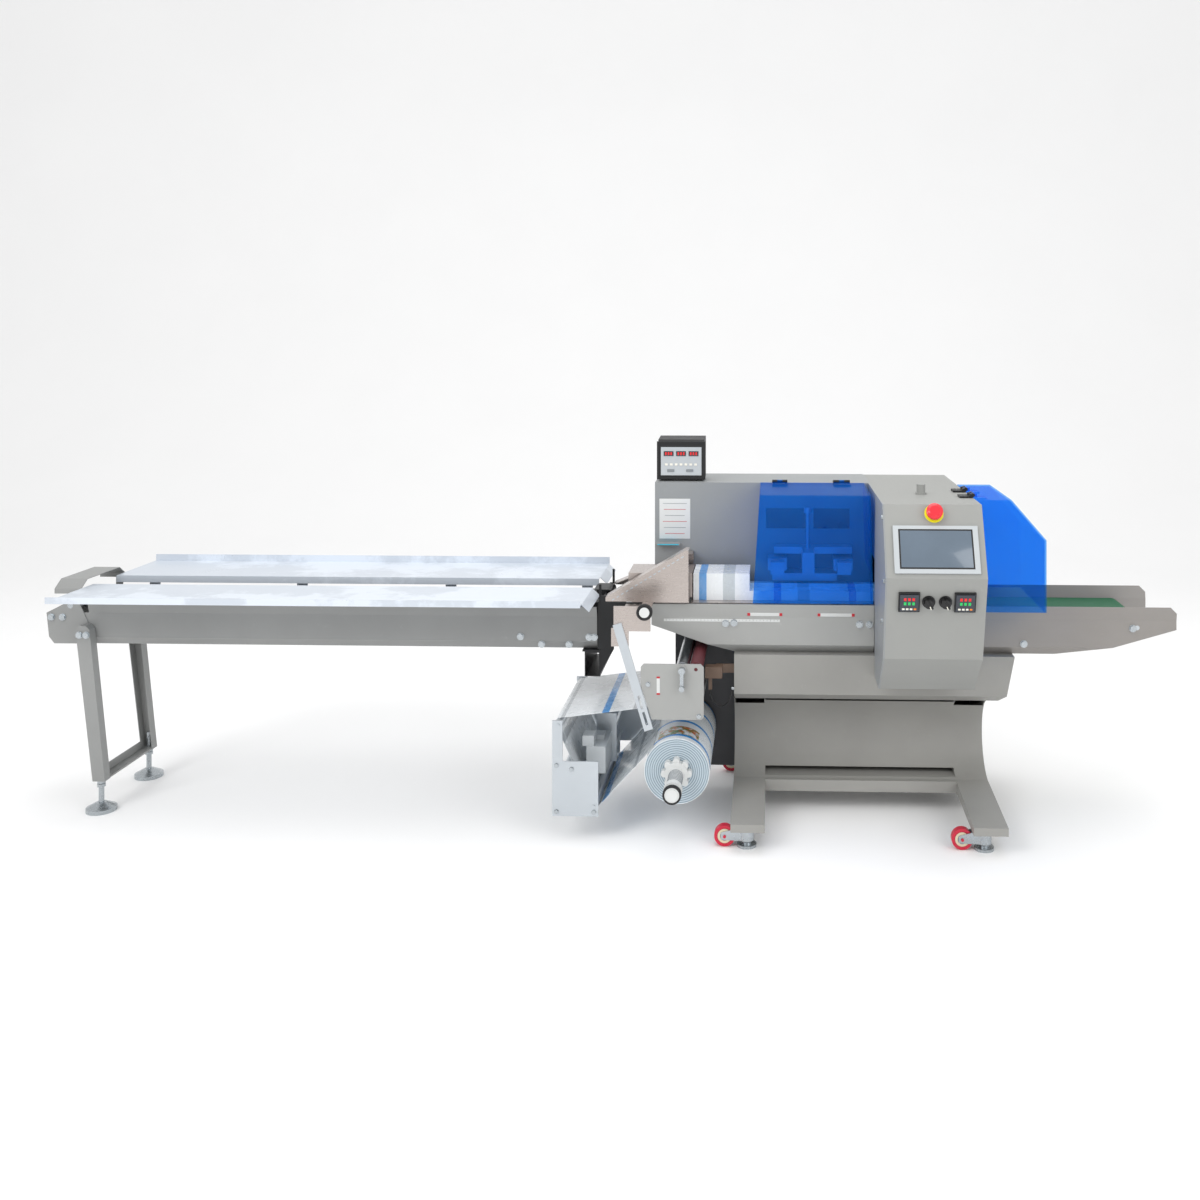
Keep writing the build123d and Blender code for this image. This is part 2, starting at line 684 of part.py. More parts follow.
# rear cabinet
cabinet_x1 = side_plate_x - seat
cabinet = block(cabinet_x0, cabinet_x1, cabinet_front, cabinet_rear, main_plate_z1, cabinet_top)
cabinet += block(bed_x0, cabinet_x1, cabinet_front, bed_rear, bed_top, main_plate_z1)
cabinet -= block(cabinet_x0 + skin, cabinet_x1 - skin, cabinet_front + skin, cabinet_rear - skin,
                 main_plate_z1 + skin, cabinet_top - skin)
cabinet -= block(bed_x0 + skin, cabinet_x1 - skin, cabinet_front + skin, bed_rear - skin,
                 bed_top + skin, cabinet_top - skin)
shelf = block(173, 259, cabinet_front - 34, cabinet_front, 903, 907)
shelf += block(173, 259, cabinet_front - 34, cabinet_front - 32, 907, 915)
parts["rear_cabinet"] = cabinet + shelf

# coder display box
display_z1 = cabinet_top + display_height
display_path = [
    (display_front, cabinet_top + 6), (display_front, display_z1 - 8), (display_front + 10, display_z1 + 6),
    (display_front + display_depth, display_z1 + 12), (display_front + display_depth, cabinet_top + 6),
]
display = along_x(display_path, display_x0 + 4, display_x1 - 4)
display += block(display_x0, display_x1, display_front - 6, display_front, cabinet_top + 6, display_z1)
display -= block(display_x0 + 8, display_x1 - 8, display_front - 7, display_front - 3,
                 cabinet_top + 16, display_z1 - 8)
for x in (display_x0 + 14, display_x1 - 34):
    for y in (display_front + 12, display_front + display_depth - 30):
        display += block(x, x + 20, y, y + 18, cabinet_top, cabinet_top + 6)
parts["coder_display"] = display

# console
console_x0 = side_plate_x + side_plate
console_x1 = console_x0 + console_width
console_back_z = cabinet_top - 2
console_outline = [
    (cabinet_rear, console_back_z), (console_top_y, console_top_z), (console_nose_y, console_nose_z),
    (console_low_y, console_low_z), (console_chin_y, console_chin_z), (bed_front - seat, console_chin_z),
    (bed_front - seat, bed_top + seat), (cabinet_rear, bed_top + seat),
]
console = along_x(console_outline, console_x0, console_x1)
closed = console_outline + console_outline[:2]
inner = strip(closed, skin)[len(closed):][::-1][1:-1]
console -= along_x(inner, console_x0 + skin, console_x1 - skin)
tunnel = block(side_plate_x - 1, console_x1 + 1, tunnel_front - 6, tunnel_rear + 6, bed_top - 1, tunnel_top)
console -= tunnel
console -= block(console_x0 + 40, console_x1 + 1, bed_front - 1, 330, bed_top - 1, bed_top + skin + 2)
side = along_x(console_outline, side_plate_x, side_plate_x + side_plate)
parts["console_side_plate"] = side - tunnel

up = (0, console_nose_y - console_top_y, console_nose_z - console_top_z)
face_run = hypot(up[1], up[2])
screen_normal = (0, up[2] / face_run, -up[1] / face_run)
low = (0, console_low_y - console_nose_y, console_low_z - console_nose_z)
low_run = hypot(low[1], low[2])
control_normal = (0, low[2] / low_run, -low[1] / low_run)


def on_screen_face(x, z):
    share = (console_top_z - z) / (console_top_z - console_nose_z)
    y = console_top_y + share * (console_nose_y - console_top_y)
    return Plane(origin=(x, y, z), x_dir=(1, 0, 0), z_dir=screen_normal)


def on_control_face(x, z):
    share = (console_nose_z - z) / (console_nose_z - console_low_z)
    y = console_nose_y + share * (console_low_y - console_nose_y)
    return Plane(origin=(x, y, z), x_dir=(1, 0, 0), z_dir=control_normal)


low_centre = (Align.CENTER, Align.CENTER, Align.MIN)
high_centre = (Align.CENTER, Align.CENTER, Align.MAX)
screen_face = on_screen_face(panel_centre_x, screen_z)
bezel_height = 7.0
screen_body = 34.0
panel = screen_face * Box(screen_width, screen_height, bezel_height, align=low_centre)
panel -= screen_face * Pos(0, 0, bezel_height - 1.5) * Box(screen_width - 44, screen_height - 40, 2,
                                                         align=low_centre)
panel += screen_face * Box(screen_width - 20, screen_height - 20, screen_body, align=high_centre)
parts["hmi_panel"] = panel
console -= screen_face * Box(screen_width - 20 + 2 * bolt_fit, screen_height - 20 + 2 * bolt_fit, 12)

estop_face = on_screen_face(panel_centre_x, estop_z)
collar = estop_face * Cylinder(30, 3, align=low_centre)
collar += estop_face * Cylinder(20, 9, align=low_centre)
collar += estop_face * Cylinder(14, 40, align=high_centre)
collar -= estop_face * Cylinder(estop_stem + run_fit, 90)
console -= estop_face * Cylinder(14 + bolt_fit, 12)
parts["estop_collar"] = collar
button = estop_face * Pos(0, 0, 9 + estop_travel + 0.5) * Cylinder(estop_radius, 12, align=low_centre)
button += estop_face * Pos(0, 0, 21 + estop_travel + 0.5) * Cone(estop_radius, estop_radius * 0.62, 6,
                                                               align=low_centre)
button += estop_face * Pos(0, 0, -28) * Cylinder(estop_stem, 40 + estop_travel, align=low_centre)
parts["estop_button"] = button

controllers = None
for sign in (-1, 1):
    spot = on_control_face(panel_centre_x + sign * controller_pitch / 2, controls_z)
    one = spot * Box(controller_size, controller_size, 8, align=low_centre)
    one -= spot * Pos(0, 0, 6) * Box(controller_size - 12, controller_size - 12, 3, align=low_centre)
    one += spot * Box(controller_body, controller_body, controller_depth, align=high_centre)
    controllers = one if controllers is None else controllers + one
    console -= spot * Box(controller_body + 2 * bolt_fit, controller_body + 2 * bolt_fit, 14)
parts["temperature_controllers"] = controllers

for name, sign in (("left", -1), ("right", 1)):
    spot = on_control_face(panel_centre_x + sign * knob_pitch / 2, controls_z)
    knob = spot * Pos(0, 0, 0.4) * Cylinder(knob_radius, 5, align=low_centre)
    knob += spot * Pos(0, 0, 5.4) * Cylinder(knob_radius * 0.72, knob_height - 5, align=low_centre)
    knob += spot * Rot(0, 0, 35) * Pos(0, 0, 5.4) * Box(8, knob_radius * 1.8, knob_height - 3, align=low_centre)
    knob += spot * Pos(0, 0, -22) * Cylinder(knob_shaft, 24, align=low_centre)
    parts["selector_knob_" + name] = knob
    console -= spot * Cylinder(knob_shaft + run_fit, 14)

stub_x = 1096.0
stub_y = -110.0
stub_z = console_top_z - (stub_y - console_top_y) * (console_top_z - console_back_z) / (cabinet_rear - console_top_y)
console += rod_z(stub_x, stub_y, stub_z - 1, stub_z + 6, 19)
console += rod_z(stub_x, stub_y, stub_z, stub_z + 34, 14.5)
parts["console_shell"] = console

# front cover and its hinges
hinge_y = cabinet_front - 14.0
hinge_z = cabinet_top + hinge_radius + 1.0
cover_roof = cabinet_top + 1.0
cover_top_y = cover_front
cover_profile = [
    (cabinet_front - seat * 5, cover_roof), (cover_top_y, cover_roof - 5),
    (cover_foot_y, cover_foot_z), (cabinet_front - seat * 5, cover_foot_z),
]


def cover_prism(points, x_top0, x_top1, x_low0, x_low1, z_top, z_low):
    full = along_x(points, x_low0, x_low1)
    for xt, xl, way in ((x_top0, x_low0, -1), (x_top1, x_low1, 1)):
        far = xl + way * 60
        wedge = along_y([(xt, z_top), (xl, z_low), (far, z_low - 1), (far, z_top + 20), (xt, z_top + 20)],
                        cover_front - 80, cabinet_rear)
        full -= wedge
    return full


outer_cover = cover_prism(cover_profile, cover_x0 + cover_taper, cover_x1 - cover_taper / 2,
                          cover_x0, cover_x1, cover_roof, cover_foot_z)
inner_profile = [
    (cabinet_front + 5, cover_roof - acrylic), (cover_top_y + acrylic, cover_roof - 5 - acrylic),
    (cover_foot_y + acrylic, cover_foot_z - 1), (cabinet_front + 5, cover_foot_z - 1),
]
inner_cover = cover_prism(inner_profile, cover_x0 + cover_taper + acrylic, cover_x1 - cover_taper / 2 - acrylic,
                          cover_x0 + acrylic, cover_x1 - acrylic, cover_roof, cover_foot_z - 1)
front_cover = outer_cover - inner_cover
front_cover -= block(cover_x0 - 2, cover_x0 + 30, throat_front - 16, cabinet_front, cover_foot_z - 1, throat_top + 14)
front_cover -= block(cover_x1 - 30, cover_x1 + 2, throat_front - 16, cabinet_front, cover_foot_z - 1, throat_top + 14)
hinge_spans = ((594.0, 649.0), (816.0, 875.0))
fixed_leaves = None
for x0, x1 in hinge_spans:
    third = (x1 - x0) / 3
    moving = block(x0, x1, hinge_y - 70, hinge_y - hinge_radius - 2, cover_roof - 4, cover_roof + 4)
    moving += block(x0 + third + seat, x1 - third - seat, hinge_y - hinge_radius - 4, hinge_y,
                    cover_roof - 4, cover_roof + 4)
    moving += rod((x0 + third + seat, hinge_y, hinge_z), (1, 0, 0), hinge_radius, third - 2 * seat)
    moving -= rod((x0, hinge_y, hinge_z), (1, 0, 0), 3 + run_fit, x1 - x0)
    front_cover += moving
    fixed = block(x0, x1, cabinet_front + 2, cabinet_front + 44, cabinet_top, cabinet_top + 4)
    pin = rod((x0, hinge_y, hinge_z), (1, 0, 0), 3, x1 - x0)
    for a, b in ((x0, x0 + third), (x1 - third, x1)):
        fixed += block(a, b, hinge_y, cabinet_front + 3, hinge_z - 3, hinge_z + 3)
        fixed += rod((a, hinge_y, hinge_z), (1, 0, 0), hinge_radius, b - a)
        front_cover -= block(a - seat, b + seat, hinge_y - hinge_radius - seat, cabinet_front + 1,
                             cover_roof - 8, hinge_z + 20)
    fixed = fixed + pin
    fixed_leaves = fixed if fixed_leaves is None else fixed_leaves + fixed
parts["front_cover"] = front_cover

# outfeed cover and its hinges
exit_x0 = console_x1 + exit_cover_gap
exit_top_x = exit_x0 + exit_cover_top
exit_roof = console_top_z - 4.0
exit_outline = [
    (exit_x0, exit_roof), (exit_top_x, exit_roof), (exit_cover_x1, exit_cover_slope_z),
    (exit_cover_x1, exit_cover_foot), (exit_x0, exit_cover_foot),
]
exit_inner = [
    (exit_x0 - 1, exit_roof - acrylic), (exit_top_x - 2, exit_roof - acrylic),
    (exit_cover_x1 - acrylic, exit_cover_slope_z - 2), (exit_cover_x1 - acrylic, exit_cover_foot - 1),
    (exit_x0 - 1, exit_cover_foot - 1),
]
exit_cover = along_y(exit_outline, exit_cover_front, exit_cover_rear)
exit_cover -= along_y(exit_inner, exit_cover_front + acrylic, exit_cover_rear - acrylic)
exit_hinge_x = console_x1 - 1.0
exit_hinge_z = console_top_z + hinge_radius + 3.0
for y0, y1 in ((-62.0, -8.0), (-206.0, -152.0)):
    third = (y1 - y0) / 3
    leaf = block(exit_x0 - 2, exit_x0 + 40, y0, y1, exit_roof, exit_roof + 4)
    leaf += block(exit_hinge_x, exit_x0 + 10, y0 + third + seat, y1 - third - seat,
                  exit_hinge_z - 3, exit_hinge_z + 3)
    leaf += block(exit_x0 + 2, exit_x0 + 10, y0 + third + seat, y1 - third - seat, exit_roof, exit_hinge_z + 3)
    leaf += rod_y(exit_hinge_x, exit_hinge_z, y0 + third + seat, y1 - third - seat, hinge_radius)
    leaf -= rod_y(exit_hinge_x, exit_hinge_z, y0 - 1, y1 + 1, 3 + run_fit)
    exit_cover += leaf
    base = block(exit_hinge_x - 44, exit_hinge_x - 8, y0, y1, console_top_z - 1, console_top_z + 5)
    base += rod_y(exit_hinge_x, exit_hinge_z, y0, y1, 3)
    for a, b in ((y0, y0 + third), (y1 - third, y1)):
        base += rod_y(exit_hinge_x, exit_hinge_z, a, b, hinge_radius)
        base += block(exit_hinge_x - 12, exit_hinge_x, a, b, console_top_z + 0.6, exit_hinge_z + 3)
    base -= along_x([(cabinet_rear, console_back_z), (console_top_y, console_top_z),
                     (console_top_y, console_top_z - 20), (cabinet_rear, console_top_z - 20)],
                    console_x0, console_x1)
    fixed_leaves += base
parts["outfeed_cover"] = exit_cover
parts["cover_hinges"] = fixed_leaves

# fin sealing unit under the front cover
seal_y = 60.0
heads = block(594, 824, 96, cabinet_front, 790, 816)
heads += block(600, 880, 130, cabinet_front, 880, 904)
for x in (612.0, 846.0):
    heads += block(x - 34, x + 34, 92, cabinet_front, 827, 869)
    heads += block(x - 24, x + 24, 20, 56, 827, 869)
    heads += block(x - 24, x - 12, 20, 100, 838, 858)
heads += block(700, 744, 84, cabinet_front, 816, 904)
heads += rod_z(721, 110, 900, 1043, 6)
heads += rod_z(721, 110, 1030, 1048, 14)
heads += block(702, 740, 20, 100, 890, 904)
parts["fin_seal_heads"] = heads

# end sealing jaws inside the console
jaw_x = 1103.0
jaw_low_z = 668.0
jaw_high_z = 818.0
jaw_frame_front = -72.0
jaw_frame_rear = 300.0
jaw_frames = None
for y0 in (jaw_frame_front, jaw_frame_rear):
    frame = block(jaw_x - 70, jaw_x + 70, y0, y0 + 12, bed_top, 900)
    for z in (jaw_low_z, jaw_high_z):
        frame -= rod_y(jaw_x, z, y0 - 1, y0 + 13, 15 + run_fit)
    jaw_frames = frame if jaw_frames is None else jaw_frames + frame
jaw_frames += block(jaw_x - 70, jaw_x + 70, jaw_frame_front, jaw_frame_rear, 888, 900)
parts["bed_cabinet"] += jaw_frames
for name, z in (("lower", jaw_low_z), ("upper", jaw_high_z)):
    shaft = rod_y(jaw_x, z, jaw_frame_front - 6, jaw_frame_rear + 18, 15)
    shaft += block(jaw_x - 20, jaw_x + 20, -20, 190, z - 45, z + 45)
    shaft += block(jaw_x - 8, jaw_x + 8, -20, 190, z - 62, z + 62)
    parts["end_jaw_" + name] = shaft

# former
wing = [(former_x0, former_z0), (former_x1, former_z0), (former_x1, former_z1),
        (former_x1 - 12, former_z1), (former_x0, former_z0 + 14)]
slope = [(former_x0, former_z0 + 14), (former_x1 - 12, former_z1), (former_x1, former_z1)]
former = along_y(wing, former_front, former_front + former_sheet)
rear_drop = 50.0
rear_wing = [(x, z - rear_drop if z > former_z0 + 20 else z) for x, z in wing]
rear_slope = [(x, z - rear_drop if z > former_z0 + 20 else z) for x, z in slope]
former += along_y(rear_wing, former_rear - former_sheet, former_rear)
former += along_y(strip(slope, -former_sheet), former_front, former_front + 62)
former += along_y(strip(rear_slope, -former_sheet), former_rear - 62, former_rear)
throat = block(former_x0 + 70, former_x1 + 8, throat_front, throat_rear, former_z0, throat_top)
throat -= block(former_x0 + 60, former_x1 + 9, throat_front + former_sheet, throat_rear - former_sheet,
                former_z0 + former_sheet, throat_top - former_sheet)
former += throat
former += block(former_x0 + 90, former_x1, former_front, former_rear, former_z0 - 2, former_z0)
former += block(rail_x0 + 12, former_x1, former_front + 30, former_front + 36, rail_top, former_z0)
former_arm = block(70, 192, side_y, side_y + plate, 690, wheel_boss_z + 15)
former_arm += block(150, 186, side_y, former_front + 10, 744, former_z0 - 2)
former_arm += block(90, 150, side_y + plate, rail_front - rail_lip - 2, 735, 741)
former += former_arm
former += block(150, 186, former_front, former_front + 20, former_z0 - 8, former_z0)
former -= rod_y(wheel_boss_x, wheel_boss_z, side_y - 1, side_y + plate + 1, 5 + run_fit)
parts["former"] = former
handwheel = rod_y(wheel_boss_x, wheel_boss_z, side_y - 22, side_y - 8, 26.5)
handwheel -= rod_y(wheel_boss_x, wheel_boss_z, side_y - 23, side_y - 16, 20)
handwheel += rod_y(wheel_boss_x, wheel_boss_z, side_y - 20, side_y - 0.5, 12)
handwheel += rod_y(wheel_boss_x, wheel_boss_z, side_y - 1, side_y + 30, 5)
parts["former_handwheel"] = handwheel

# film side plate, nip rollers and lever
plate_outline = [
    (side_x0 + 36, side_z0), (side_x1 - 8, side_z0), (side_x1, side_z0 + 8), (side_x1, side_z1 - 10),
    (side_x1 - 10, side_z1), (side_x0 + 10, side_z1), (side_x0, side_z1 - 10), (side_x0, side_z0 + 110),
]
side_back = side_y + plate
side = along_y(plate_outline, side_y, side_back)
steel_x = nip_x - nip_radius - nip_gap / 2
rubber_x = nip_x + nip_radius + nip_gap / 2
lever_hub = rod_y(steel_x, nip_z, side_y - 8, side_y, 14)
for x, z in ((stay_x, stay_z), (350.0, 424.0)):
    side += rod_y(x, z, side_back, main_plate_y, stay_radius)
side += lever_hub
for x in (steel_x, rubber_x):
    side -= rod_y(x, nip_z, side_y, side_back + 1, journal_radius + run_fit)
    parts["main_plate"] -= rod_y(x, nip_z, main_plate_y - 1, main_plate_y + main_plate_depth + 1,
                                 journal_radius + run_fit)
side -= rod_y(steel_x, nip_z, side_y - 9, side_y - 0.5, 5 + run_fit)
parts["film_side_plate"] = side
for name, x in (("steel", steel_x), ("rubber", rubber_x)):
    roller = rod_y(x, nip_z, side_back + 1, main_plate_y - 1, nip_radius)
    roller += rod_y(x, nip_z, side_y + 0.5, main_plate_y + main_plate_depth, journal_radius)
    parts["nip_roller_" + name] = roller
lever = rod_y(steel_x, nip_z, side_y - 26, side_y - 8.4, 11)
lever += rod_y(steel_x, nip_z, side_y - 12, side_y - 1, 5)
lever += block(steel_x - 6, steel_x + 6, side_y - 22, side_y - 12, nip_z - 56, nip_z)
lever += rod_y(steel_x, nip_z - 58, side_y - 28, side_y - 9, 9)
parts["pinch_lever"] = lever

# slotted adjusting bar
bar_run = hypot(bar_foot_x - bar_top_x, bar_top_z - bar_foot_z)
along = ((bar_foot_x - bar_top_x) / bar_run, (bar_foot_z - bar_top_z) / bar_run)
across = (-along[1], along[0])


def bar_point(distance, offset):
    return (bar_top_x + along[0] * distance + across[0] * offset,
            bar_top_z + along[1] * distance + across[1] * offset)


def bar_slab(d0, d1, half, y0, y1):
    return along_y([bar_point(d0, -half), bar_point(d1, -half), bar_point(d1, half), bar_point(d0, half)], y0, y1)


bar = bar_slab(-8, bar_run, bar_width / 2, side_y - 5, side_y)
for start in (bar_run - 118, bar_run - 62):
    bar -= bar_slab(start, start + 44, 4, side_y - 6, side_y + 1)
parts["slotted_bar"] = bar
parts["former"] += block(62, 120, side_y, side_y + plate, 640, 700)

# film reel and shaft
film_rear = film_front + film_width
reel = rod_y(reel_x, reel_z, film_front, film_rear, reel_radius)
reel -= rod_y(reel_x, reel_z, film_front - 1, film_rear + 1, core_radius)
parts["film_reel"] = reel
shaft = rod_y(reel_x, reel_z, reel_nose + 16, main_plate_y + main_plate_depth + 8, reel_shaft_radius)
shaft += rod_y(reel_x, reel_z, film_rear, film_rear + reel_flange, 90)
for y0 in (film_front, film_rear - 60):
    shaft += rod_y(reel_x, reel_z, y0, y0 + 60, core_radius)
shaft += rod_y(reel_x, reel_z, film_front - 30, film_front, 38)
for i in range(8):
    turn = radians(45 * i)
    shaft += rod_y(reel_x + 40 * cos(turn), reel_z + 40 * sin(turn), film_front - 26, film_front - 1, 11)
shaft += rod_y(reel_x, reel_z, film_front - 150, film_front - 30, 24)
shaft += rod_y(reel_x, reel_z, film_front - 176, film_front - 150, 30)
shaft += rod_y(reel_x, reel_z, reel_nose, reel_nose + 18, 28)
parts["main_plate"] -= rod_y(reel_x, reel_z, main_plate_y - 1, main_plate_y + main_plate_depth + 1,
                             reel_shaft_radius + run_fit)
parts["reel_shaft"] = shaft

# unwind unit
unit_back = unit_front + plate
arm_y = main_plate_y - unit_arm_depth
unit = block(unit_x0, unit_x1 + 18, unit_front, unit_back, unit_z0, unit_z1)
unit += block(unit_x0, unit_x0 + 34, unit_front, unit_back, unit_z1, top_roller_z + 16)
unit += block(unit_x0, reel_x - reel_shaft_radius - 8, arm_y, main_plate_y, unit_arm_z0, unit_arm_z1)
unit += block(unit_x0, unit_x0 + 40, arm_y, main_plate_y, unit_arm_z1, top_roller_z + 16)
unit += block(low_roller_x - 24, low_roller_x + 24, arm_y, main_plate_y, unit_z0 + 6, unit_arm_z0)
for x, z in ((-112.0, 190.0), (-112.0, 108.0), (-60.0, 176.0)):
    unit += rod_y(x, z, unit_back, arm_y if z > unit_arm_z0 else arm_y, stay_radius)
unit += block(-130, -94, arm_y, main_plate_y, 92, unit_arm_z0)
unit += block(-19, 51, coder_plate_y, coder_plate_y + plate, 180, 346)
for z in (200.0, 280.0):
    unit += rod_y(36, z, coder_plate_y + plate, arm_y, 6)
for x, z in ((top_roller_x, top_roller_z), (low_roller_x, low_roller_z)):
    unit -= rod_y(x, z, unit_front - 1, unit_back + 1, journal_radius + run_fit)
    unit -= rod_y(x, z, arm_y - 1, main_plate_y + 1, journal_radius + run_fit)
parts["unwind_frame"] = unit
for name, x, z in (("top", top_roller_x, top_roller_z), ("low", low_roller_x, low_roller_z)):
    roller = rod_y(x, z, unit_back + 2, arm_y - 2, roller_radius)
    roller += rod_y(x, z, unit_front - 3, main_plate_y - 0.5, journal_radius)
    parts["unwind_roller_" + name] = roller

coder = block(-30, 34, -180, coder_plate_y, 196, 286)
coder += block(-44, -6, -176, -120, 286, 320)
coder += block(-30, 20, -110, -60, 286, 300)
parts["coder_head"] = coder

# film: from the reel through the unit to the nip and on to the former
film_y0 = film_front + 8
film_y1 = film_rear - 8
film_gap = 0.6


def lap(x, z, radius, start, end, count):
    """Points of the film round a roller, from one angle to another in degrees."""
    turns = [radians(start + (end - start) * i / (count - 1)) for i in range(count)]
    return [(x + radius * cos(t), z + radius * sin(t)) for t in turns]


reel_lap = reel_radius + film_gap + film_sheet
stay_lap = stay_radius + film_gap + film_sheet
roller_lap = roller_radius + film_gap
reach = hypot(reel_x - low_roller_x, reel_z - low_roller_z)
tilt = degrees(asin((reel_z - low_roller_z) / reach))
leave = tilt - degrees(pi / 2 - asin((reel_lap + roller_lap) / reach))
rise = degrees(asin((top_roller_z - low_roller_z)
                    / hypot(top_roller_x - low_roller_x, top_roller_z - low_roller_z)))
film_route = [(reel_x + reel_lap * cos(radians(leave + 180)), reel_z + reel_lap * sin(radians(leave + 180)))]
up_left = -90 - rise
film_route += lap(low_roller_x, low_roller_z, roller_lap, leave, up_left, 6)
film_route += lap(top_roller_x, top_roller_z, roller_lap, up_left + 360, 97.5, 6)
film_route += lap(stay_x, stay_z, stay_lap, -82.5, 0, 5)
film_route += [(stay_x + stay_lap, nip_z)]
parts["film_web"] = along_y(strip(film_route, film_sheet), film_y0, film_y1)

tube_x0 = former_x1 + 12
tube_x1 = side_plate_x + 60
tube = block(tube_x0, 515, throat_front, throat_rear, table_top + seat, throat_top)
tube += block(515, tube_x1, throat_front, throat_rear, table_top + seat, 776)
tube += block(515, tube_x1, seal_y, seal_y + 2, 776, 788)
parts["film_tube"] = tube

# film mark sensor and its cable
sensor_y = -90.0
sensor = block(365, 423, sensor_y - 20, sensor_y + 20, 498, 536)
sensor += block(400, 410, sensor_y + 20, -40, 500, 530)
sensor += block(400, bed_x0, -46, -40, 500, 530)
sensor += block(376, 388, sensor_y - 6, sensor_y + 6, 456, 498)
parts["film_sensor"] = sensor
cable_radius = 2.5
cable_route = [
    (382, sensor_y, 456), (382, sensor_y, 432), (393, sensor_y - 1, 408), (416, sensor_y - 2, 396),
    (440, sensor_y, 404), (451, sensor_y + 8, 428), (456, -68, 450),
]


def cord_radii(points):
    radii = []
    for a, b, c in zip(points, points[1:], points[2:]):
        first = Vector(*b) - Vector(*a)
        second = Vector(*c) - Vector(*b)
        turn = radians(first.get_angle(second))
        radii.append(0.45 * min(first.length, second.length) / tan(turn / 2))
    return radii


cable_radii = cord_radii(cable_route)
print("cable radii", [round(r, 1) for r in cable_radii])
cable_path = FilletPolyline(*cable_route, radius=cable_radii)
cable_start = Plane(origin=cable_path @ 0, z_dir=cable_path % 0)
cable = sweep(cable_start * Circle(cable_radius), path=cable_path)
print("cable length", round(cable_path.length, 1), "volume ratio",
      round(cable.volume / (pi * cable_radius ** 2 * cable_path.length), 4))
parts["sensor_cable"] = cable

# screws
trough_face = (0, -1, 0)
for x, z in ((-282.0, 617.0), (-208.0, 591.0), (-112.0, 591.0), (-42.0, 617.0), (-24.0, 617.0)):
    fasten(["infeed_trough", "coupling_bracket"], (x, trough_front, z), trough_face, 6, 14)
for x, z in ((left_end + 18, 672.0), (left_end + 58, 672.0)):
    fasten(["infeed_end_housing", "infeed_trough"], (x, trough_front - skin, z), trough_face, 6, 12)
for x in (leg_top_x - 11, leg_top_x + 14):
    fasten(["infeed_leg_frame", "infeed_trough", "infeed_end_housing"],
           (x, leg_front_face - leg_depth, 618), trough_face, 6, leg_depth + 10)
for x, z in ((433.0, 674.0), (462.0, 676.0), (893.0, 674.0), (927.0, 674.0)):
    fasten(["bed_rail_front"], (x, rail_front, z), trough_face, 6, 14)
for x, z in ((side_x0 + 24, 516.0), (side_x1 - 16, 412.0)):
    fasten(["film_side_plate"], (x, side_y, z), trough_face, 4, plate)
for x, z in ((unit_x0 + 14, unit_z0 + 14), (unit_x1 + 4, unit_z0 + 14), (unit_x0 + 14, unit_z1 - 14),
             (unit_x0 + 64, unit_z1 - 26)):
    fasten(["unwind_frame"], (x, unit_front, z), trough_face, 4, plate)
for x, z in ((1820.0, 668.0), (1452.0, 612.0)):
    fasten(["outfeed_trough"], (x, rail_front, z), trough_face, 6, 14)
side_screws = [(-370.0, 1090.0), (-430.0, 900.0), (-360.0, 760.0)]
for y, z in side_screws:
    fasten(["console_side_plate"], (side_plate_x, y, z), (-1, 0, 0), 4, side_plate)
gland = rod((bed_x0, -66, 452), (-1, 0, 0), 6, 9)
screws_solid = screws[0]
for one in screws[1:]:
    screws_solid += one
parts["fasteners"] = screws_solid + gland

# place the whole machine over the origin and write it
everything = Compound(children=[Compound(p.wrapped) if hasattr(p, "wrapped") else p for p in parts.values()])
box = everything.bounding_box()
shift = (-(box.min.X + box.max.X) / 2, -(box.min.Y + box.max.Y) / 2, -box.min.Z)
print("shift", [round(s, 4) for s in shift], "size", [round(v, 2) for v in box.size])
print("nodes", len(parts))
for name, solid in parts.items():
    placed = Pos(*shift) * solid
    placed.label = name
    export_step(placed, "parts/" + name + ".step")
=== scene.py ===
import bmesh
import bpy
import math
from mathutils import Matrix, Vector


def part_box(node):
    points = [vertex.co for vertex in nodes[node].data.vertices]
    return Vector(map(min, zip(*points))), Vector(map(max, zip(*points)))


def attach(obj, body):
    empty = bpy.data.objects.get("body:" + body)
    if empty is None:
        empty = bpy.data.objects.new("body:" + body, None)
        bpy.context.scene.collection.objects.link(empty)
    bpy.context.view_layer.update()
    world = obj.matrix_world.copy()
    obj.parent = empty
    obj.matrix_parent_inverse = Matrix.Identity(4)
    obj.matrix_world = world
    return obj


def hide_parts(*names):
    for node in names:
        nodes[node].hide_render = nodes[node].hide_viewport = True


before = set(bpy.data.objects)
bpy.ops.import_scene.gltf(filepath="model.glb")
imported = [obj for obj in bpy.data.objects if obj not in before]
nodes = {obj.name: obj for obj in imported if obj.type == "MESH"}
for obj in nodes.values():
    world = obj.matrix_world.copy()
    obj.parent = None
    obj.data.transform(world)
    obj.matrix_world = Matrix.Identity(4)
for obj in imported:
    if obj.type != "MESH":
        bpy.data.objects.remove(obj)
bpy.ops.object.select_all(action="DESELECT")
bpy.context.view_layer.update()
shiftX, shiftY = -0.001, 0.0033345  # from the part's own place to the frame's, in metres
corners = ("front_left", "front_right", "rear_left", "rear_right")
print("frame loaded")


def place(x, y, z):
    # millimetres in the part's own place, as metres in the frame
    return Vector((x / 1000 + shiftX, y / 1000 + shiftY, z / 1000))


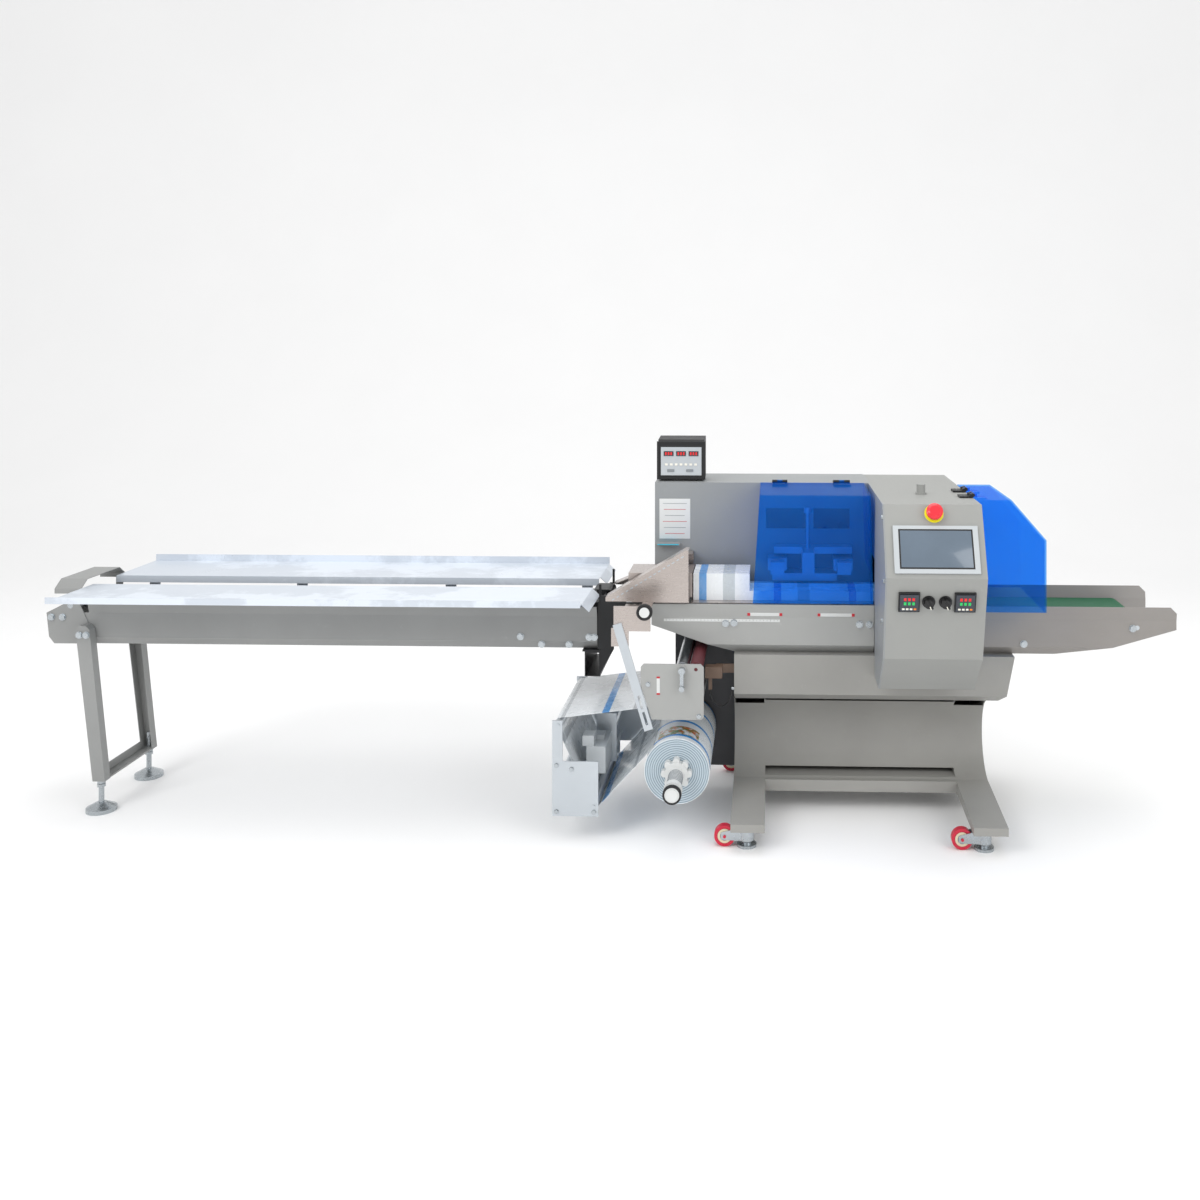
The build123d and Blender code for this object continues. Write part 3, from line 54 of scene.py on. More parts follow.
class Value:
    # wraps a node socket so that plain arithmetic builds math nodes

    def __init__(self, shader, socket):
        self.shader = shader
        self.socket = socket

    def math(self, kind, other, flip=False):
        first, second = (other, self) if flip else (self, other)
        return self.shader.node("ShaderNodeMath", {"operation": kind}, {0: first, 1: second})

    def __add__(self, other):
        return self.math("ADD", other)

    def __radd__(self, other):
        return self.math("ADD", other, True)

    def __sub__(self, other):
        return self.math("SUBTRACT", other)

    def __rsub__(self, other):
        return self.math("SUBTRACT", other, True)

    def __mul__(self, other):
        return self.math("MULTIPLY", other)

    def __rmul__(self, other):
        return self.math("MULTIPLY", other, True)

    def above(self, level):
        return self.math("GREATER_THAN", level)


class Shader:
    def __init__(self, name):
        self.material = bpy.data.materials.new(name)
        self.material.use_nodes = True
        self.tree = self.material.node_tree
        self.main = self.tree.nodes["Principled BSDF"]
        where = self.tree.nodes.new("ShaderNodeTexCoord")
        self.spot = Value(self, where.outputs["Object"])

    def put(self, socket, value):
        if isinstance(value, Value):
            self.tree.links.new(value.socket, socket)
        else:
            socket.default_value = value

    def node(self, kind, settings, inputs, output=0):
        made = self.tree.nodes.new(kind)
        for name, value in settings.items():
            setattr(made, name, value)
        for name, value in inputs.items():
            self.put(made.inputs[name], value)
        return Value(self, made.outputs[output])

    def noise(self, scale, detail=4.0, rough=0.55):
        return self.node("ShaderNodeTexNoise", {},
                         {"Vector": self.spot, "Scale": scale, "Detail": detail, "Roughness": rough})

    def stretched(self, amounts):
        return self.node("ShaderNodeVectorMath", {"operation": "MULTIPLY"},
                         {0: self.spot, 1: amounts})

    def grain(self, amounts, scale):
        return self.node("ShaderNodeTexNoise", {},
                         {"Vector": self.stretched(amounts), "Scale": scale, "Detail": 3.0})

    def ramp(self, value, low, high):
        return self.node("ShaderNodeMapRange", {},
                         {"Value": value, "From Min": low, "From Max": high})

    def mix(self, amount, first, second):
        made = self.tree.nodes.new("ShaderNodeMix")
        made.data_type = "RGBA"
        self.put(made.inputs[0], amount)
        self.put(made.inputs[6], first)
        self.put(made.inputs[7], second)
        return Value(self, made.outputs[2])

    def bump(self, height, strength, distance):
        normal = self.node("ShaderNodeBump", {},
                           {"Height": height, "Strength": strength, "Distance": distance})
        self.put(self.main.inputs["Normal"], normal)

    def axis(self, index):
        return self.node("ShaderNodeSeparateXYZ", {}, {"Vector": self.spot}, index)


def linear(code):
    parts = [int(code[i:i + 2], 16) / 255 for i in (1, 3, 5)]
    return [c / 12.92 if c <= 0.04045 else ((c + 0.055) / 1.055) ** 2.4 for c in parts] + [1.0]


def shade(colour, amount):
    return [min(1.0, c * amount) for c in colour[:3]] + [1.0]


finishes = {}


def finish(name, code, rough=0.45, metal=0.0, grain=0.05, bumpSize=320.0, bumpStrength=0.12,
           wear=0.06, brushed=None, coat=0.0):
    # a paint, metal or plastic with broad patches, fine grain and pale scuffs
    s = Shader(name)
    base = linear(code)
    broad = s.noise(3.2, 5.0)
    fine = s.noise(bumpSize, 3.0)
    patches = s.ramp(broad, 0.35, 0.7)
    colour = s.mix(patches, shade(base, 1.0 - grain), shade(base, 1.0 + grain))
    scuffs = s.ramp(s.noise(38.0, 6.0, 0.7), 0.62, 0.74)
    colour = s.mix(scuffs * wear * 4.0, colour, shade(base, 1.35))
    s.put(s.main.inputs["Base Color"], colour)
    s.put(s.main.inputs["Metallic"], metal)
    s.put(s.main.inputs["Coat Weight"], coat)
    height = s.grain(brushed, 60.0) if brushed else fine
    s.put(s.main.inputs["Roughness"], rough + (height - 0.5) * 0.25 + (broad - 0.5) * 0.2)
    s.bump(height, bumpStrength, 0.0004)
    finishes[name] = s.material
    return s


finish("standPaint", "#94938f", 0.5, grain=0.07)
finish("consolePaint", "#939491", 0.55, grain=0.04, bumpSize=520, bumpStrength=0.35)
finish("cabinetPaint", "#8c8f90", 0.45, grain=0.04)
finish("railPaint", "#9e9f9d", 0.4, grain=0.04)
finish("outfeedPaint", "#8b8783", 0.45, grain=0.05)
finish("infeedPaint", "#8b8c8b", 0.45, grain=0.06)
finish("frontStainless", "#b7aea9", 0.28, 0.75, 0.06, wear=0.03, brushed=(0.4, 6.0, 6.0),
       bumpStrength=0.1)
finish("darkSteel", "#4a4a4c", 0.45, 0.5, 0.08)
finish("blackSteel", "#17181a", 0.45, 0.2, 0.1, wear=0.03)
finish("zinc", "#b3b9bd", 0.28, 0.9, 0.1, bumpSize=90, bumpStrength=0.1)
finish("aluminium", "#bfc5ca", 0.35, 0.75, 0.05, brushed=(1.0, 8.0, 1.0), bumpStrength=0.12)
finish("groundSteel", "#8e9298", 0.22, 0.95, 0.05, brushed=(8.0, 0.6, 8.0),
       bumpStrength=0.05)
finish("rollerRubber", "#5a1f26", 0.6, grain=0.08, bumpSize=260)
finish("beltGreen", "#0f5c3a", 0.6, grain=0.1, bumpSize=700, bumpStrength=0.4)
finish("whitePlastic", "#cfd1d0", 0.4, grain=0.03)
finish("blackPlastic", "#141416", 0.5, grain=0.08, bumpSize=500, bumpStrength=0.25)
finish("bezelSilver", "#b5babd", 0.35, grain=0.03)
finish("stopRed", "#dc1a2c", 0.3, grain=0.04, coat=0.4)
finish("stopYellow", "#e8e020", 0.4, grain=0.03)
finish("wheelRed", "#c8203c", 0.4, grain=0.07, bumpSize=160)
finish("sensorBody", "#6a5648", 0.5, grain=0.06)
finish("cableBlack", "#0d0d0e", 0.45, grain=0.05)
finish("screenGlass", "#5c6a78", 0.15, grain=0.12, coat=0.6)
finish("digitRed", "#e02020", 0.4, grain=0.05)
finish("digitGreen", "#25c060", 0.4, grain=0.05)
finish("keyWhite", "#e9e6da", 0.5, grain=0.04)
finish("keyOrange", "#e5822a", 0.5, grain=0.04)
finish("creamRing", "#d9cdb0", 0.5, grain=0.05)
finish("hubGrey", "#83888c", 0.4, grain=0.05)
finish("markRed", "#b8202c", 0.5, grain=0.05)
finish("shelfCyan", "#3cb6cf", 0.4, grain=0.05)
finish("windowDark", "#1b2432", 0.2, grain=0.1, coat=0.5)

# trays keep a wrinkled pale protective film over the steel
s = finish("trayFilm", "#c9d2dc", 0.34, 0.25, 0.05)
creases = s.node("ShaderNodeTexVoronoi", {"feature": "DISTANCE_TO_EDGE"},
                 {"Vector": s.stretched((1.4, 5.0, 5.0)), "Scale": 7.0})
patches = s.ramp(s.noise(2.1, 7.0, 0.65), 0.47, 0.52)
s.put(s.main.inputs["Base Color"], s.mix(patches, linear("#c6cdd6"), linear("#d6dde6")))
s.bump(s.noise(14.0, 6.0, 0.6) + s.ramp(creases, 0.0, 0.05) * 0.4, 0.16, 0.0015)

# tinted see-through sheet for the covers
s = Shader("acrylicBlue")
clear = s.tree.nodes.new("ShaderNodeBsdfTransparent")
clear.inputs[0].default_value = linear("#a9d9ff")
blend = s.tree.nodes.new("ShaderNodeMixShader")
streaks = s.ramp(s.noise(5.0, 5.0), 0.3, 0.8)
s.put(blend.inputs[0], 0.13 + streaks * 0.05)
s.put(s.main.inputs["Base Color"], s.mix(streaks, linear("#0f78dc"), linear("#1b8fe8")))
s.put(s.main.inputs["Roughness"], 0.08 + streaks * 0.08)
s.tree.links.new(clear.outputs[0], blend.inputs[1])
s.tree.links.new(s.main.outputs[0], blend.inputs[2])
s.tree.links.new(blend.outputs[0], s.tree.nodes["Material Output"].inputs[0])
finishes["acrylicBlue"] = s.material


def printed(name, ground, across, period, shares):
    # white film with coloured bands that repeat along one axis
    made = Shader(name)
    along = made.axis(across)
    turn = made.node("ShaderNodeMath", {"operation": "FRACT"}, {0: along * (1.0 / period)})
    colour = made.mix(made.ramp(made.noise(4.0), 0.35, 0.7), shade(linear(ground), 0.94), linear(ground))
    for low, high, code in shares:
        band = turn.above(low) - turn.above(high)
        colour = made.mix(band * (0.75 + 0.25 * made.noise(30.0)), colour, linear(code))
    made.put(made.main.inputs["Base Color"], colour)
    made.put(made.main.inputs["Roughness"], 0.2 + 0.15 * made.noise(20.0))
    made.put(made.main.inputs["Coat Weight"], 0.3)
    made.bump(made.noise(24.0, 4.0), 0.06, 0.001)
    finishes[name] = made.material


printed("filmSheet", "#e3e8eb", 0, 0.24, [(0.12, 0.22, "#2a8ad0"), (0.55, 0.6, "#a3a9ae")])
printed("filmTubePrint", "#e8ecee", 0, 0.26, [(0.3, 0.4, "#2a8ad0"), (0.62, 0.78, "#b4bcc0")])

# wound film: rings on the ends, stripes along the outside
reel = {"x": 279, "z": 228, "skinFrom": 0.1065, "ringPitch": 880.0, "stripes": 7.0}
s = finish("filmReel", "#aeb9c4", 0.3)
away = s.node("ShaderNodeVectorMath", {"operation": "SUBTRACT"},
              {0: s.spot, 1: place(reel["x"], 0, reel["z"])})
flat = s.node("ShaderNodeVectorMath", {"operation": "MULTIPLY"},
              {0: away, 1: (1.0, 0.0, 1.0)})
radius = s.node("ShaderNodeVectorMath", {"operation": "LENGTH"}, {0: flat}, 1)
rings = s.node("ShaderNodeMath", {"operation": "SINE"},
               {0: radius * reel["ringPitch"] + s.noise(30.0) * 3.0})
outside = radius.above(reel["skinFrom"])
stripe = s.axis(1) * reel["stripes"]
stripe = s.node("ShaderNodeMath", {"operation": "FRACT"}, {0: stripe})
skin = s.mix(stripe.above(0.55) - stripe.above(0.68), linear("#e2e7ea"), linear("#2a8ad0"))
face = s.mix(rings * 0.5 + 0.5, linear("#7b8b97"), linear("#bccad2"))
speckle = s.ramp(s.noise(70.0, 5.0), 0.42, 0.58)
motif = s.mix(speckle, linear("#c4642c"), linear("#4a7f38"))
patch = s.axis(2).above(0.312) * (s.axis(1).above(-0.19) - s.axis(1).above(-0.11))
skin = s.mix(patch * s.ramp(s.noise(26.0), 0.4, 0.5), skin, motif)
s.put(s.main.inputs["Base Color"], s.mix(outside, face, skin))
s.bump(rings, 0.12, 0.0005)
print("finishes made")

wearing = {
    "standPaint": ["stand_frame", "bed_cabinet"],
    "consolePaint": ["console_shell"],
    "cabinetPaint": ["rear_cabinet", "console_side_plate"],
    "railPaint": ["bed_rail_front", "film_side_plate"],
    "outfeedPaint": ["outfeed_trough"],
    "infeedPaint": ["infeed_trough", "infeed_end_housing", "infeed_end_guard",
                    "infeed_leg_frame"],
    "trayFilm": ["tray_front", "tray_rear"],
    "frontStainless": ["former", "bed_table"],
    "darkSteel": ["main_plate"],
    "blackSteel": ["coupling_bracket", "cover_hinges"],
    "zinc": ["levelling_feet", "fasteners", "pinch_lever", "chain_tail_shaft", "infeed_chain"]
            + ["caster_fork_" + corner for corner in corners],
    "aluminium": ["unwind_frame", "slotted_bar", "fin_seal_heads", "unwind_roller_top",
                  "unwind_roller_low", "belt_end_roller"],
    "groundSteel": ["nip_roller_steel", "end_jaw_lower", "end_jaw_upper"],
    "rollerRubber": ["nip_roller_rubber"],
    "beltGreen": ["outfeed_belt"],
    "filmReel": ["film_reel"],
    "filmSheet": ["film_web"],
    "filmTubePrint": ["film_tube"],
    "whitePlastic": ["reel_shaft"],
    "blackPlastic": ["former_handwheel", "selector_knob_left", "selector_knob_right",
                     "temperature_controllers", "coder_display"],
    "bezelSilver": ["hmi_panel", "coder_head"],
    "stopRed": ["estop_button"],
    "stopYellow": ["estop_collar"],
    "acrylicBlue": ["front_cover", "outfeed_cover"],
    "wheelRed": ["caster_wheel_" + corner for corner in corners],
    "sensorBody": ["film_sensor"],
    "cableBlack": ["sensor_cable"],
}
for name, members in wearing.items():
    for member in members:
        nodes[member].data.materials.clear()
        nodes[member].data.materials.append(finishes[name])
print("frame pieces finished")


def settle(obj, name, material, body):
    # gives a finished detail its name, material and body, with its place in its vertices
    obj.name = name
    obj.data.name = name
    obj.data.transform(obj.matrix_world)
    obj.matrix_world.identity()
    obj.data.materials.clear()
    obj.data.materials.append(finishes[material])
    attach(obj, body)
    bpy.ops.object.select_all(action="DESELECT")


def bevelled(obj, width, segments=3):
    # rounds the edges and smooths what meets at a low angle
    edge = obj.modifiers.new("edge", "BEVEL")
    edge.width = width
    edge.segments = segments
    edge.limit_method = "ANGLE"
    bpy.context.view_layer.objects.active = obj
    obj.select_set(True)
    bpy.ops.object.modifier_apply(modifier="edge")
    bpy.ops.object.shade_smooth_by_angle(angle=math.radians(35))


plate = {"sunk": 0.0008, "mostEdge": 0.4}
turned = {"rim": 0.25, "dishShare": 0.25, "deepest": 0.001, "edgeShare": 0.14}


def slab(name, centre, size, material, turn=(0, 0, 0), edge=0.0008, inset=0.0,
         body="machine_frame"):
    # a rounded plate, with a sunk middle where inset is given
    bpy.ops.mesh.primitive_cube_add(size=1, location=centre, rotation=turn)
    obj = bpy.context.object
    obj.scale = size
    bpy.ops.object.transform_apply(location=False, rotation=False, scale=True)
    if inset:
        mesh = bmesh.new()
        mesh.from_mesh(obj.data)
        front = min(mesh.faces, key=lambda f: f.normal.y)
        bmesh.ops.inset_region(mesh, faces=[front], thickness=inset)
        for corner in front.verts:
            corner.co.y += plate["sunk"]
        mesh.to_mesh(obj.data)
        mesh.free()
    bevelled(obj, min(edge, min(size) * plate["mostEdge"]))
    settle(obj, name, material, body)


def disc(name, centre, radius, depth, material, sides=40, body="machine_frame", dish=True):
    # a turned piece that faces the front: bevelled rim, and a dished face unless told not to
    bpy.ops.mesh.primitive_cylinder_add(vertices=sides, radius=radius, depth=depth,
                                        location=centre, rotation=facing)
    obj = bpy.context.object
    mesh = bmesh.new()
    mesh.from_mesh(obj.data)
    if dish:
        top = max(mesh.faces, key=lambda f: f.normal.z)
        bmesh.ops.inset_region(mesh, faces=[top], thickness=radius * turned["rim"])
        for v in top.verts:
            v.co.z -= min(depth * turned["dishShare"], turned["deepest"])
    mesh.to_mesh(obj.data)
    mesh.free()
    bevelled(obj, min(radius, depth) * turned["edgeShare"], 2)
    settle(obj, name, material, body)


facing = (math.pi / 2, 0, 0)

# the console's two sloping faces: a point on each, how y runs as z drops, and the way out
panels = {
    "upper": {"y": -360, "z": 1130, "run": -110, "drop": 213, "outY": -0.8885, "outZ": 0.4589},
    "lower": {"y": -470, "z": 917, "run": 90, "drop": 273, "outY": -0.9497, "outZ": -0.3131},
}
panelTurn = {name: (-math.asin(panel["outZ"]), 0, 0) for name, panel in panels.items()}


def onPanel(name, x, z, lift):
    # a point on a sloping console face, lifted off it along its normal
    panel = panels[name]
    y = panel["y"] + (panel["z"] - z) * panel["run"] / panel["drop"]
    return place(x, y + panel["outY"] * lift, z + panel["outZ"] * lift)


screen = {"x": 1104, "z": 999, "edge": 0.0004, "glass": (0.222, 0.0012, 0.118), "glassLift": 7.2,
          "line": (0.232, 0.0010, 0.128), "lineLift": 6.9}
slab("screen_glass", onPanel("upper", screen["x"], screen["z"], screen["glassLift"]),
     screen["glass"], "screenGlass", panelTurn["upper"], screen["edge"])
slab("screen_frame_line", onPanel("upper", screen["x"], screen["z"], screen["lineLift"]),
     screen["line"], "blackPlastic", panelTurn["upper"], screen["edge"])

controller = {
    "x": 1104, "z": 841, "aside": 86.5,
    "face": (0.058, 0.0010, 0.058), "faceLift": 10.4, "faceEdge": 0.0004,
    "detailLift": 11.2, "detailEdge": 0.0002,
    "rows": (("digitRed", 12), ("digitGreen", -2)),
    "digit": (0.008, 0.0006, 0.010), "digitFrom": 13, "digitStep": 13,
    "key": (0.008, 0.0006, 0.006), "keyFrom": 18, "keyStep": 12, "keyDrop": 20, "orangeKey": 3,
}
for side, x in (("left", controller["x"] - controller["aside"]),
                ("right", controller["x"] + controller["aside"])):
    slab("controller_face_" + side, onPanel("lower", x, controller["z"], controller["faceLift"]),
         controller["face"], "windowDark", panelTurn["lower"], controller["faceEdge"])
    for row, (code, rise) in enumerate(controller["rows"]):
        for column in range(3):
            spot = onPanel("lower", x - controller["digitFrom"] + controller["digitStep"] * column,
                           controller["z"] + rise, controller["detailLift"])
            slab("controller_%s_digit_%d_%d" % (side, row, column), spot, controller["digit"],
                 code, panelTurn["lower"], controller["detailEdge"])
    for key in range(4):
        spot = onPanel("lower", x - controller["keyFrom"] + controller["keyStep"] * key,
                       controller["z"] - controller["keyDrop"], controller["detailLift"])
        slab("controller_%s_key_%d" % (side, key), spot, controller["key"],
             "keyOrange" if key == controller["orangeKey"] else "keyWhite", panelTurn["lower"],
             controller["detailEdge"])

# white pointers that lie on the grips of the selectors
pointer = {"z": 841, "x": {"left": 1078, "right": 1130}, "gripTop": 22.4, "nearTop": 0.3,
           "pastRim": 27, "lift": 0.45, "reach": 11.5, "size": (0.003, 0.0007, 0.012),
           "edge": 0.0002}
faceOut = Vector((0, panels["lower"]["outY"], panels["lower"]["outZ"])).normalized()
faceRight = Vector((1, 0, 0))
faceUp = faceRight.cross(faceOut) * -1
for side, x in pointer["x"].items():
    middle = onPanel("lower", x, pointer["z"], 0)
    ends = [v.co - middle for v in nodes["selector_knob_" + side].data.vertices]
    ends = [e for e in ends if e.dot(faceOut) * 1000 > pointer["gripTop"] - pointer["nearTop"]
            and e.length * 1000 > pointer["pastRim"]]
    tip = min(ends, key=lambda e: e.dot(faceUp))
    angle = math.atan2(-tip.dot(faceRight), -tip.dot(faceUp)) * -1
    aside = Matrix.Rotation(angle, 3, faceOut)
    along = aside @ faceUp * -1
    spot = (middle + faceOut * (pointer["gripTop"] + pointer["lift"]) / 1000
            + along * pointer["reach"] / 1000)
    turn = (aside @ Matrix.Rotation(panelTurn["lower"][0], 3, "X")).to_euler()
    slab("knob_pointer_" + side, spot, pointer["size"], "keyWhite", turn, pointer["edge"],
         body="selector_knob_" + side)
print("console details made")

# levelling casters: cream ring and grey hub on both faces of each wheel
caster = {
    "x": (510, 1280, 510, 1280), "y": (-270, -270, 400, 400), "z": 35, "trail": 72,
    "ringOut": 12.3, "ringRadius": 0.023, "ringDepth": 0.0010,
    "hubOut": 12.7, "hubRadius": 0.015, "hubDepth": 0.0012,
}
for name, x, y in zip(corners, caster["x"], caster["y"]):
    for way, tag in ((-1, name + "_near"), (1, name + "_far")):
        spot = place(x - caster["trail"], y + way * caster["ringOut"], caster["z"])
        disc("wheel_ring_" + tag, spot, caster["ringRadius"], caster["ringDepth"], "creamRing", 48,
             "caster_wheel_" + name, False)
        spot = place(x - caster["trail"], y + way * caster["hubOut"], caster["z"])
        disc("wheel_hub_" + tag, spot, caster["hubRadius"], caster["hubDepth"], "hubGrey", 40,
             "caster_wheel_" + name)

# coder display: pale face, three red digit windows and rows of keys
display = {
    "face": (0.150, 0.0010, 0.104), "faceAt": (258.5, 226.4, 1200), "faceEdge": 0.0004,
    "rim": 0.004, "y": 225.6, "edge": 0.0002, "keyEdge": 0.0003,
    "window": (0.036, 0.0008, 0.018), "windowX": 212, "windowStep": 46, "windowZ": 1228,
    "digit": (0.006, 0.0005, 0.011), "digitX": 202, "digitStep": 10, "digitY": 225.0,
    "key": (0.010, 0.0010, 0.008), "keyX": 204, "keyStep": 18, "keyZ": 1188,
    "wideKey": (0.026, 0.0010, 0.010), "wideX": 220, "wideStep": 70, "wideZ": 1166,
}
slab("display_face", place(*display["faceAt"]), display["face"], "bezelSilver",
     edge=display["faceEdge"], inset=display["rim"])
for window in range(3):
    slab("display_window_%d" % window,
         place(display["windowX"] + display["windowStep"] * window, display["y"],
               display["windowZ"]), display["window"], "windowDark", edge=display["edge"])
    for digit in range(3):
        x = (display["digitX"] + display["windowStep"] * window + display["digitStep"] * digit)
        slab("display_digit_%d_%d" % (window, digit),
             place(x, display["digitY"], display["windowZ"]), display["digit"], "digitRed",
             edge=display["edge"])
for key in range(7):
    slab("display_key_%d" % key,
         place(display["keyX"] + display["keyStep"] * key, display["y"], display["keyZ"]),
         display["key"], "keyWhite", edge=display["keyEdge"])
for key in range(2):
    slab("display_wide_key_%d" % key,
         place(display["wideX"] + display["wideStep"] * key, display["y"], display["wideZ"]),
         display["wideKey"], "hubGrey", edge=display["keyEdge"])

# cabinet wall: diagram sheet, shelf edge and the dark windows behind the cover
diagram = {"x": 238, "y": 189.4, "z": 994, "size": (0.113, 0.0008, 0.146), "edge": 0.0002,
           "lineY": 188.8, "lineTop": 1050, "lineStep": 22, "lineLength": 0.088,
           "shorter": 0.008, "lineDepth": 0.0004, "lineHeight": 0.0016, "lineEdge": 0.0001}
slab("diagram_sheet", place(diagram["x"], diagram["y"], diagram["z"]), diagram["size"],
     "whitePlastic", edge=diagram["edge"])
for line in range(6):
    size = (diagram["lineLength"] - diagram["shorter"] * (line % 3), diagram["lineDepth"],
            diagram["lineHeight"])
    slab("diagram_line_%d" % line,
         place(diagram["x"], diagram["lineY"], diagram["lineTop"] - diagram["lineStep"] * line),
         size, "markRed" if line % 2 else "hubGrey", edge=diagram["lineEdge"])
shelf = {"strip": (0.074, 0.030, 0.0016), "stripAt": (216, 172, 908.4), "stripEdge": 0.0004,
         "lip": (0.078, 0.0010, 0.0038), "lipAt": (216, 155.4, 905), "lipEdge": 0.0003}
slab("shelf_strip", place(*shelf["stripAt"]), shelf["strip"], "shelfCyan",
     edge=shelf["stripEdge"])
slab("shelf_edge", place(*shelf["lipAt"]), shelf["lip"], "shelfCyan", edge=shelf["lipEdge"])
wallWindow = {"left": (572, 715), "right": (744, 875), "y": 189.4, "z": 997.5, "thick": 0.0010,
              "tall": 0.073, "edge": 0.0004, "rim": 0.003}
for side in ("left", "right"):
    x0, x1 = wallWindow[side]
    slab("cabinet_window_" + side, place((x0 + x1) / 2, wallWindow["y"], wallWindow["z"]),
         ((x1 - x0) / 1000, wallWindow["thick"], wallWindow["tall"]), "windowDark",
         edge=wallWindow["edge"], inset=wallWindow["rim"])

# label strips and ruler on the front rail; its upper band leans out towards its top
rail = {
    "y": -60, "bandFoot": 695, "lean": 8, "bandTall": 46,
    "strips": {"left": (508, 628), "right": (749, 876)}, "stripZ": 706, "stripLift": 0.5,
    "stripThick": 0.0008, "stripTall": 0.012, "end": (0.010, 0.0006, 0.011), "endIn": 5,
    "endLift": 1.0, "edge": 0.0002,
    "ruler": (0.400, 0.0008, 0.009), "rulerAt": (420, -60.5, 684), "marks": 33, "markX": 228,
    "markStep": 12, "markY": -61.0, "markZ": 685, "markWide": 0.0008, "markThick": 0.0004,
    "longMark": 0.006, "shortMark": 0.003, "markEdge": 0.0001,
}
bandTurn = (math.atan2(rail["lean"], rail["bandTall"]), 0, 0)


def onBand(x, z, lift):
    # a point on the rail's upper band
    lean = (z - rail["bandFoot"]) * rail["lean"] / rail["bandTall"]
    return place(x, rail["y"] - lean - lift, z)


railFront = place(0, rail["y"] - rail["lean"], 0).y
proud = max(0.0, (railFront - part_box("bed_rail_front")[0].y) * 1000)
for side, (x0, x1) in rail["strips"].items():
    slab("rail_strip_" + side,
         onBand((x0 + x1) / 2, rail["stripZ"], proud + rail["stripLift"]),
         ((x1 - x0) / 1000, rail["stripThick"], rail["stripTall"]), "whitePlastic", bandTurn,
         rail["edge"])
    for end in (x0 + rail["endIn"], x1 - rail["endIn"]):
        slab("rail_strip_end_%d" % end, onBand(end, rail["stripZ"], proud + rail["endLift"]),
             rail["end"], "markRed", bandTurn, rail["edge"])
x, y, z = rail["rulerAt"]
slab("ruler_strip", place(x, y - proud, z), rail["ruler"], "whitePlastic", edge=rail["edge"])
for index in range(rail["marks"]):
    tall = rail["longMark"] if index % 5 == 0 else rail["shortMark"]
    slab("ruler_mark_%02d" % index,
         place(rail["markX"] + rail["markStep"] * index, rail["markY"] - proud, rail["markZ"]),
         (rail["markWide"], rail["markThick"], tall), "blackPlastic", edge=rail["markEdge"])

sideLabel = {"x": 218, "y": -246.6, "z": 512, "size": (0.011, 0.0008, 0.050), "endY": -246.7,
             "endZ": (539, 485), "end": (0.011, 0.0008, 0.006), "edge": 0.0002}
slab("side_label", place(sideLabel["x"], sideLabel["y"], sideLabel["z"]), sideLabel["size"],
     "whitePlastic", edge=sideLabel["edge"])
for z in sideLabel["endZ"]:
    slab("side_label_end_%d" % z, place(sideLabel["x"], sideLabel["endY"], z), sideLabel["end"],
         "markRed", edge=sideLabel["edge"])

# painted highlight along the former's sloping top edge, drawn as light dashes
dashes = {"count": 16, "x": 22, "z": 753, "run": 285, "rise": 176, "y": -90.6, "first": 1.5,
          "parts": 18, "over": 3, "under": 8, "size": (0.010, 0.0008, 0.004), "edge": 0.0002}
edgeTurn = (0, -math.atan2(dashes["rise"], dashes["run"]), 0)
for dash in range(dashes["count"]):
    share = (dash + dashes["first"]) / dashes["parts"]
    spot = place(dashes["x"] + dashes["run"] * share + dashes["over"], dashes["y"],
                 dashes["z"] + dashes["rise"] * share - dashes["under"])
    # each dash is painted highlight, a lighter metal where the former's edge catches the light
    slab("former_edge_highlight_dash_%02d" % dash, spot, dashes["size"], "aluminium", edgeTurn,
         dashes["edge"])
print("front details made")

# black rim and thread of the reel shaft, with the light middle of the former handwheel
shaft = {"rimY": -439.4, "rimRadius": 0.0300, "rimDepth": 0.0150, "capY": -447.6,
         "capRadius": 0.0190, "capDepth": 0.0022, "threads": 9, "threadY": -292,
         "threadStep": 11, "threadRadius": 0.0249, "threadDepth": 0.0050}
disc("reel_nose_rim", place(reel["x"], shaft["rimY"], reel["z"]), shaft["rimRadius"],
     shaft["rimDepth"], "blackPlastic", 64, "film_reel")
disc("reel_nose_cap", place(reel["x"], shaft["capY"], reel["z"]), shaft["capRadius"],
     shaft["capDepth"], "whitePlastic", 48, "film_reel")
for ring in range(shaft["threads"]):
    disc("reel_hub_thread_%d" % ring,
         place(reel["x"], shaft["threadY"] - shaft["threadStep"] * ring, reel["z"]),
         shaft["threadRadius"], shaft["threadDepth"], "hubGrey", 48, "film_reel", False)
handwheel = {"at": (174, -268.4, 757), "radius": 0.017, "depth": 0.0016}
disc("handwheel_centre", place(*handwheel["at"]), handwheel["radius"], handwheel["depth"],
     "whitePlastic", 40, "former_handwheel")

# sensor cable: one smooth line through the same route
route = [(382, -90, 456), (382, -90, 432), (393, -91, 408), (416, -92, 396), (440, -90, 404),
         (451, -82, 428), (456, -68, 450)]
line = bpy.data.curves.new("sensor_lead", "CURVE")
line.dimensions = "3D"
line.bevel_depth = 0.0025
line.bevel_resolution = 6
line.resolution_u = 16
path = line.splines.new("NURBS")
path.points.add(len(route) - 1)
for point, spot in zip(path.points, route):
    point.co = (*place(*spot), 1.0)
path.order_u = 3
path.use_endpoint_u = True
line.use_fill_caps = True
lead = bpy.data.objects.new("sensor_lead", line)
bpy.context.scene.collection.objects.link(lead)
line.materials.append(finishes["cableBlack"])
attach(lead, "machine_frame")
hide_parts("sensor_cable")
tuple(place(382, -90, 456))
print("details made")

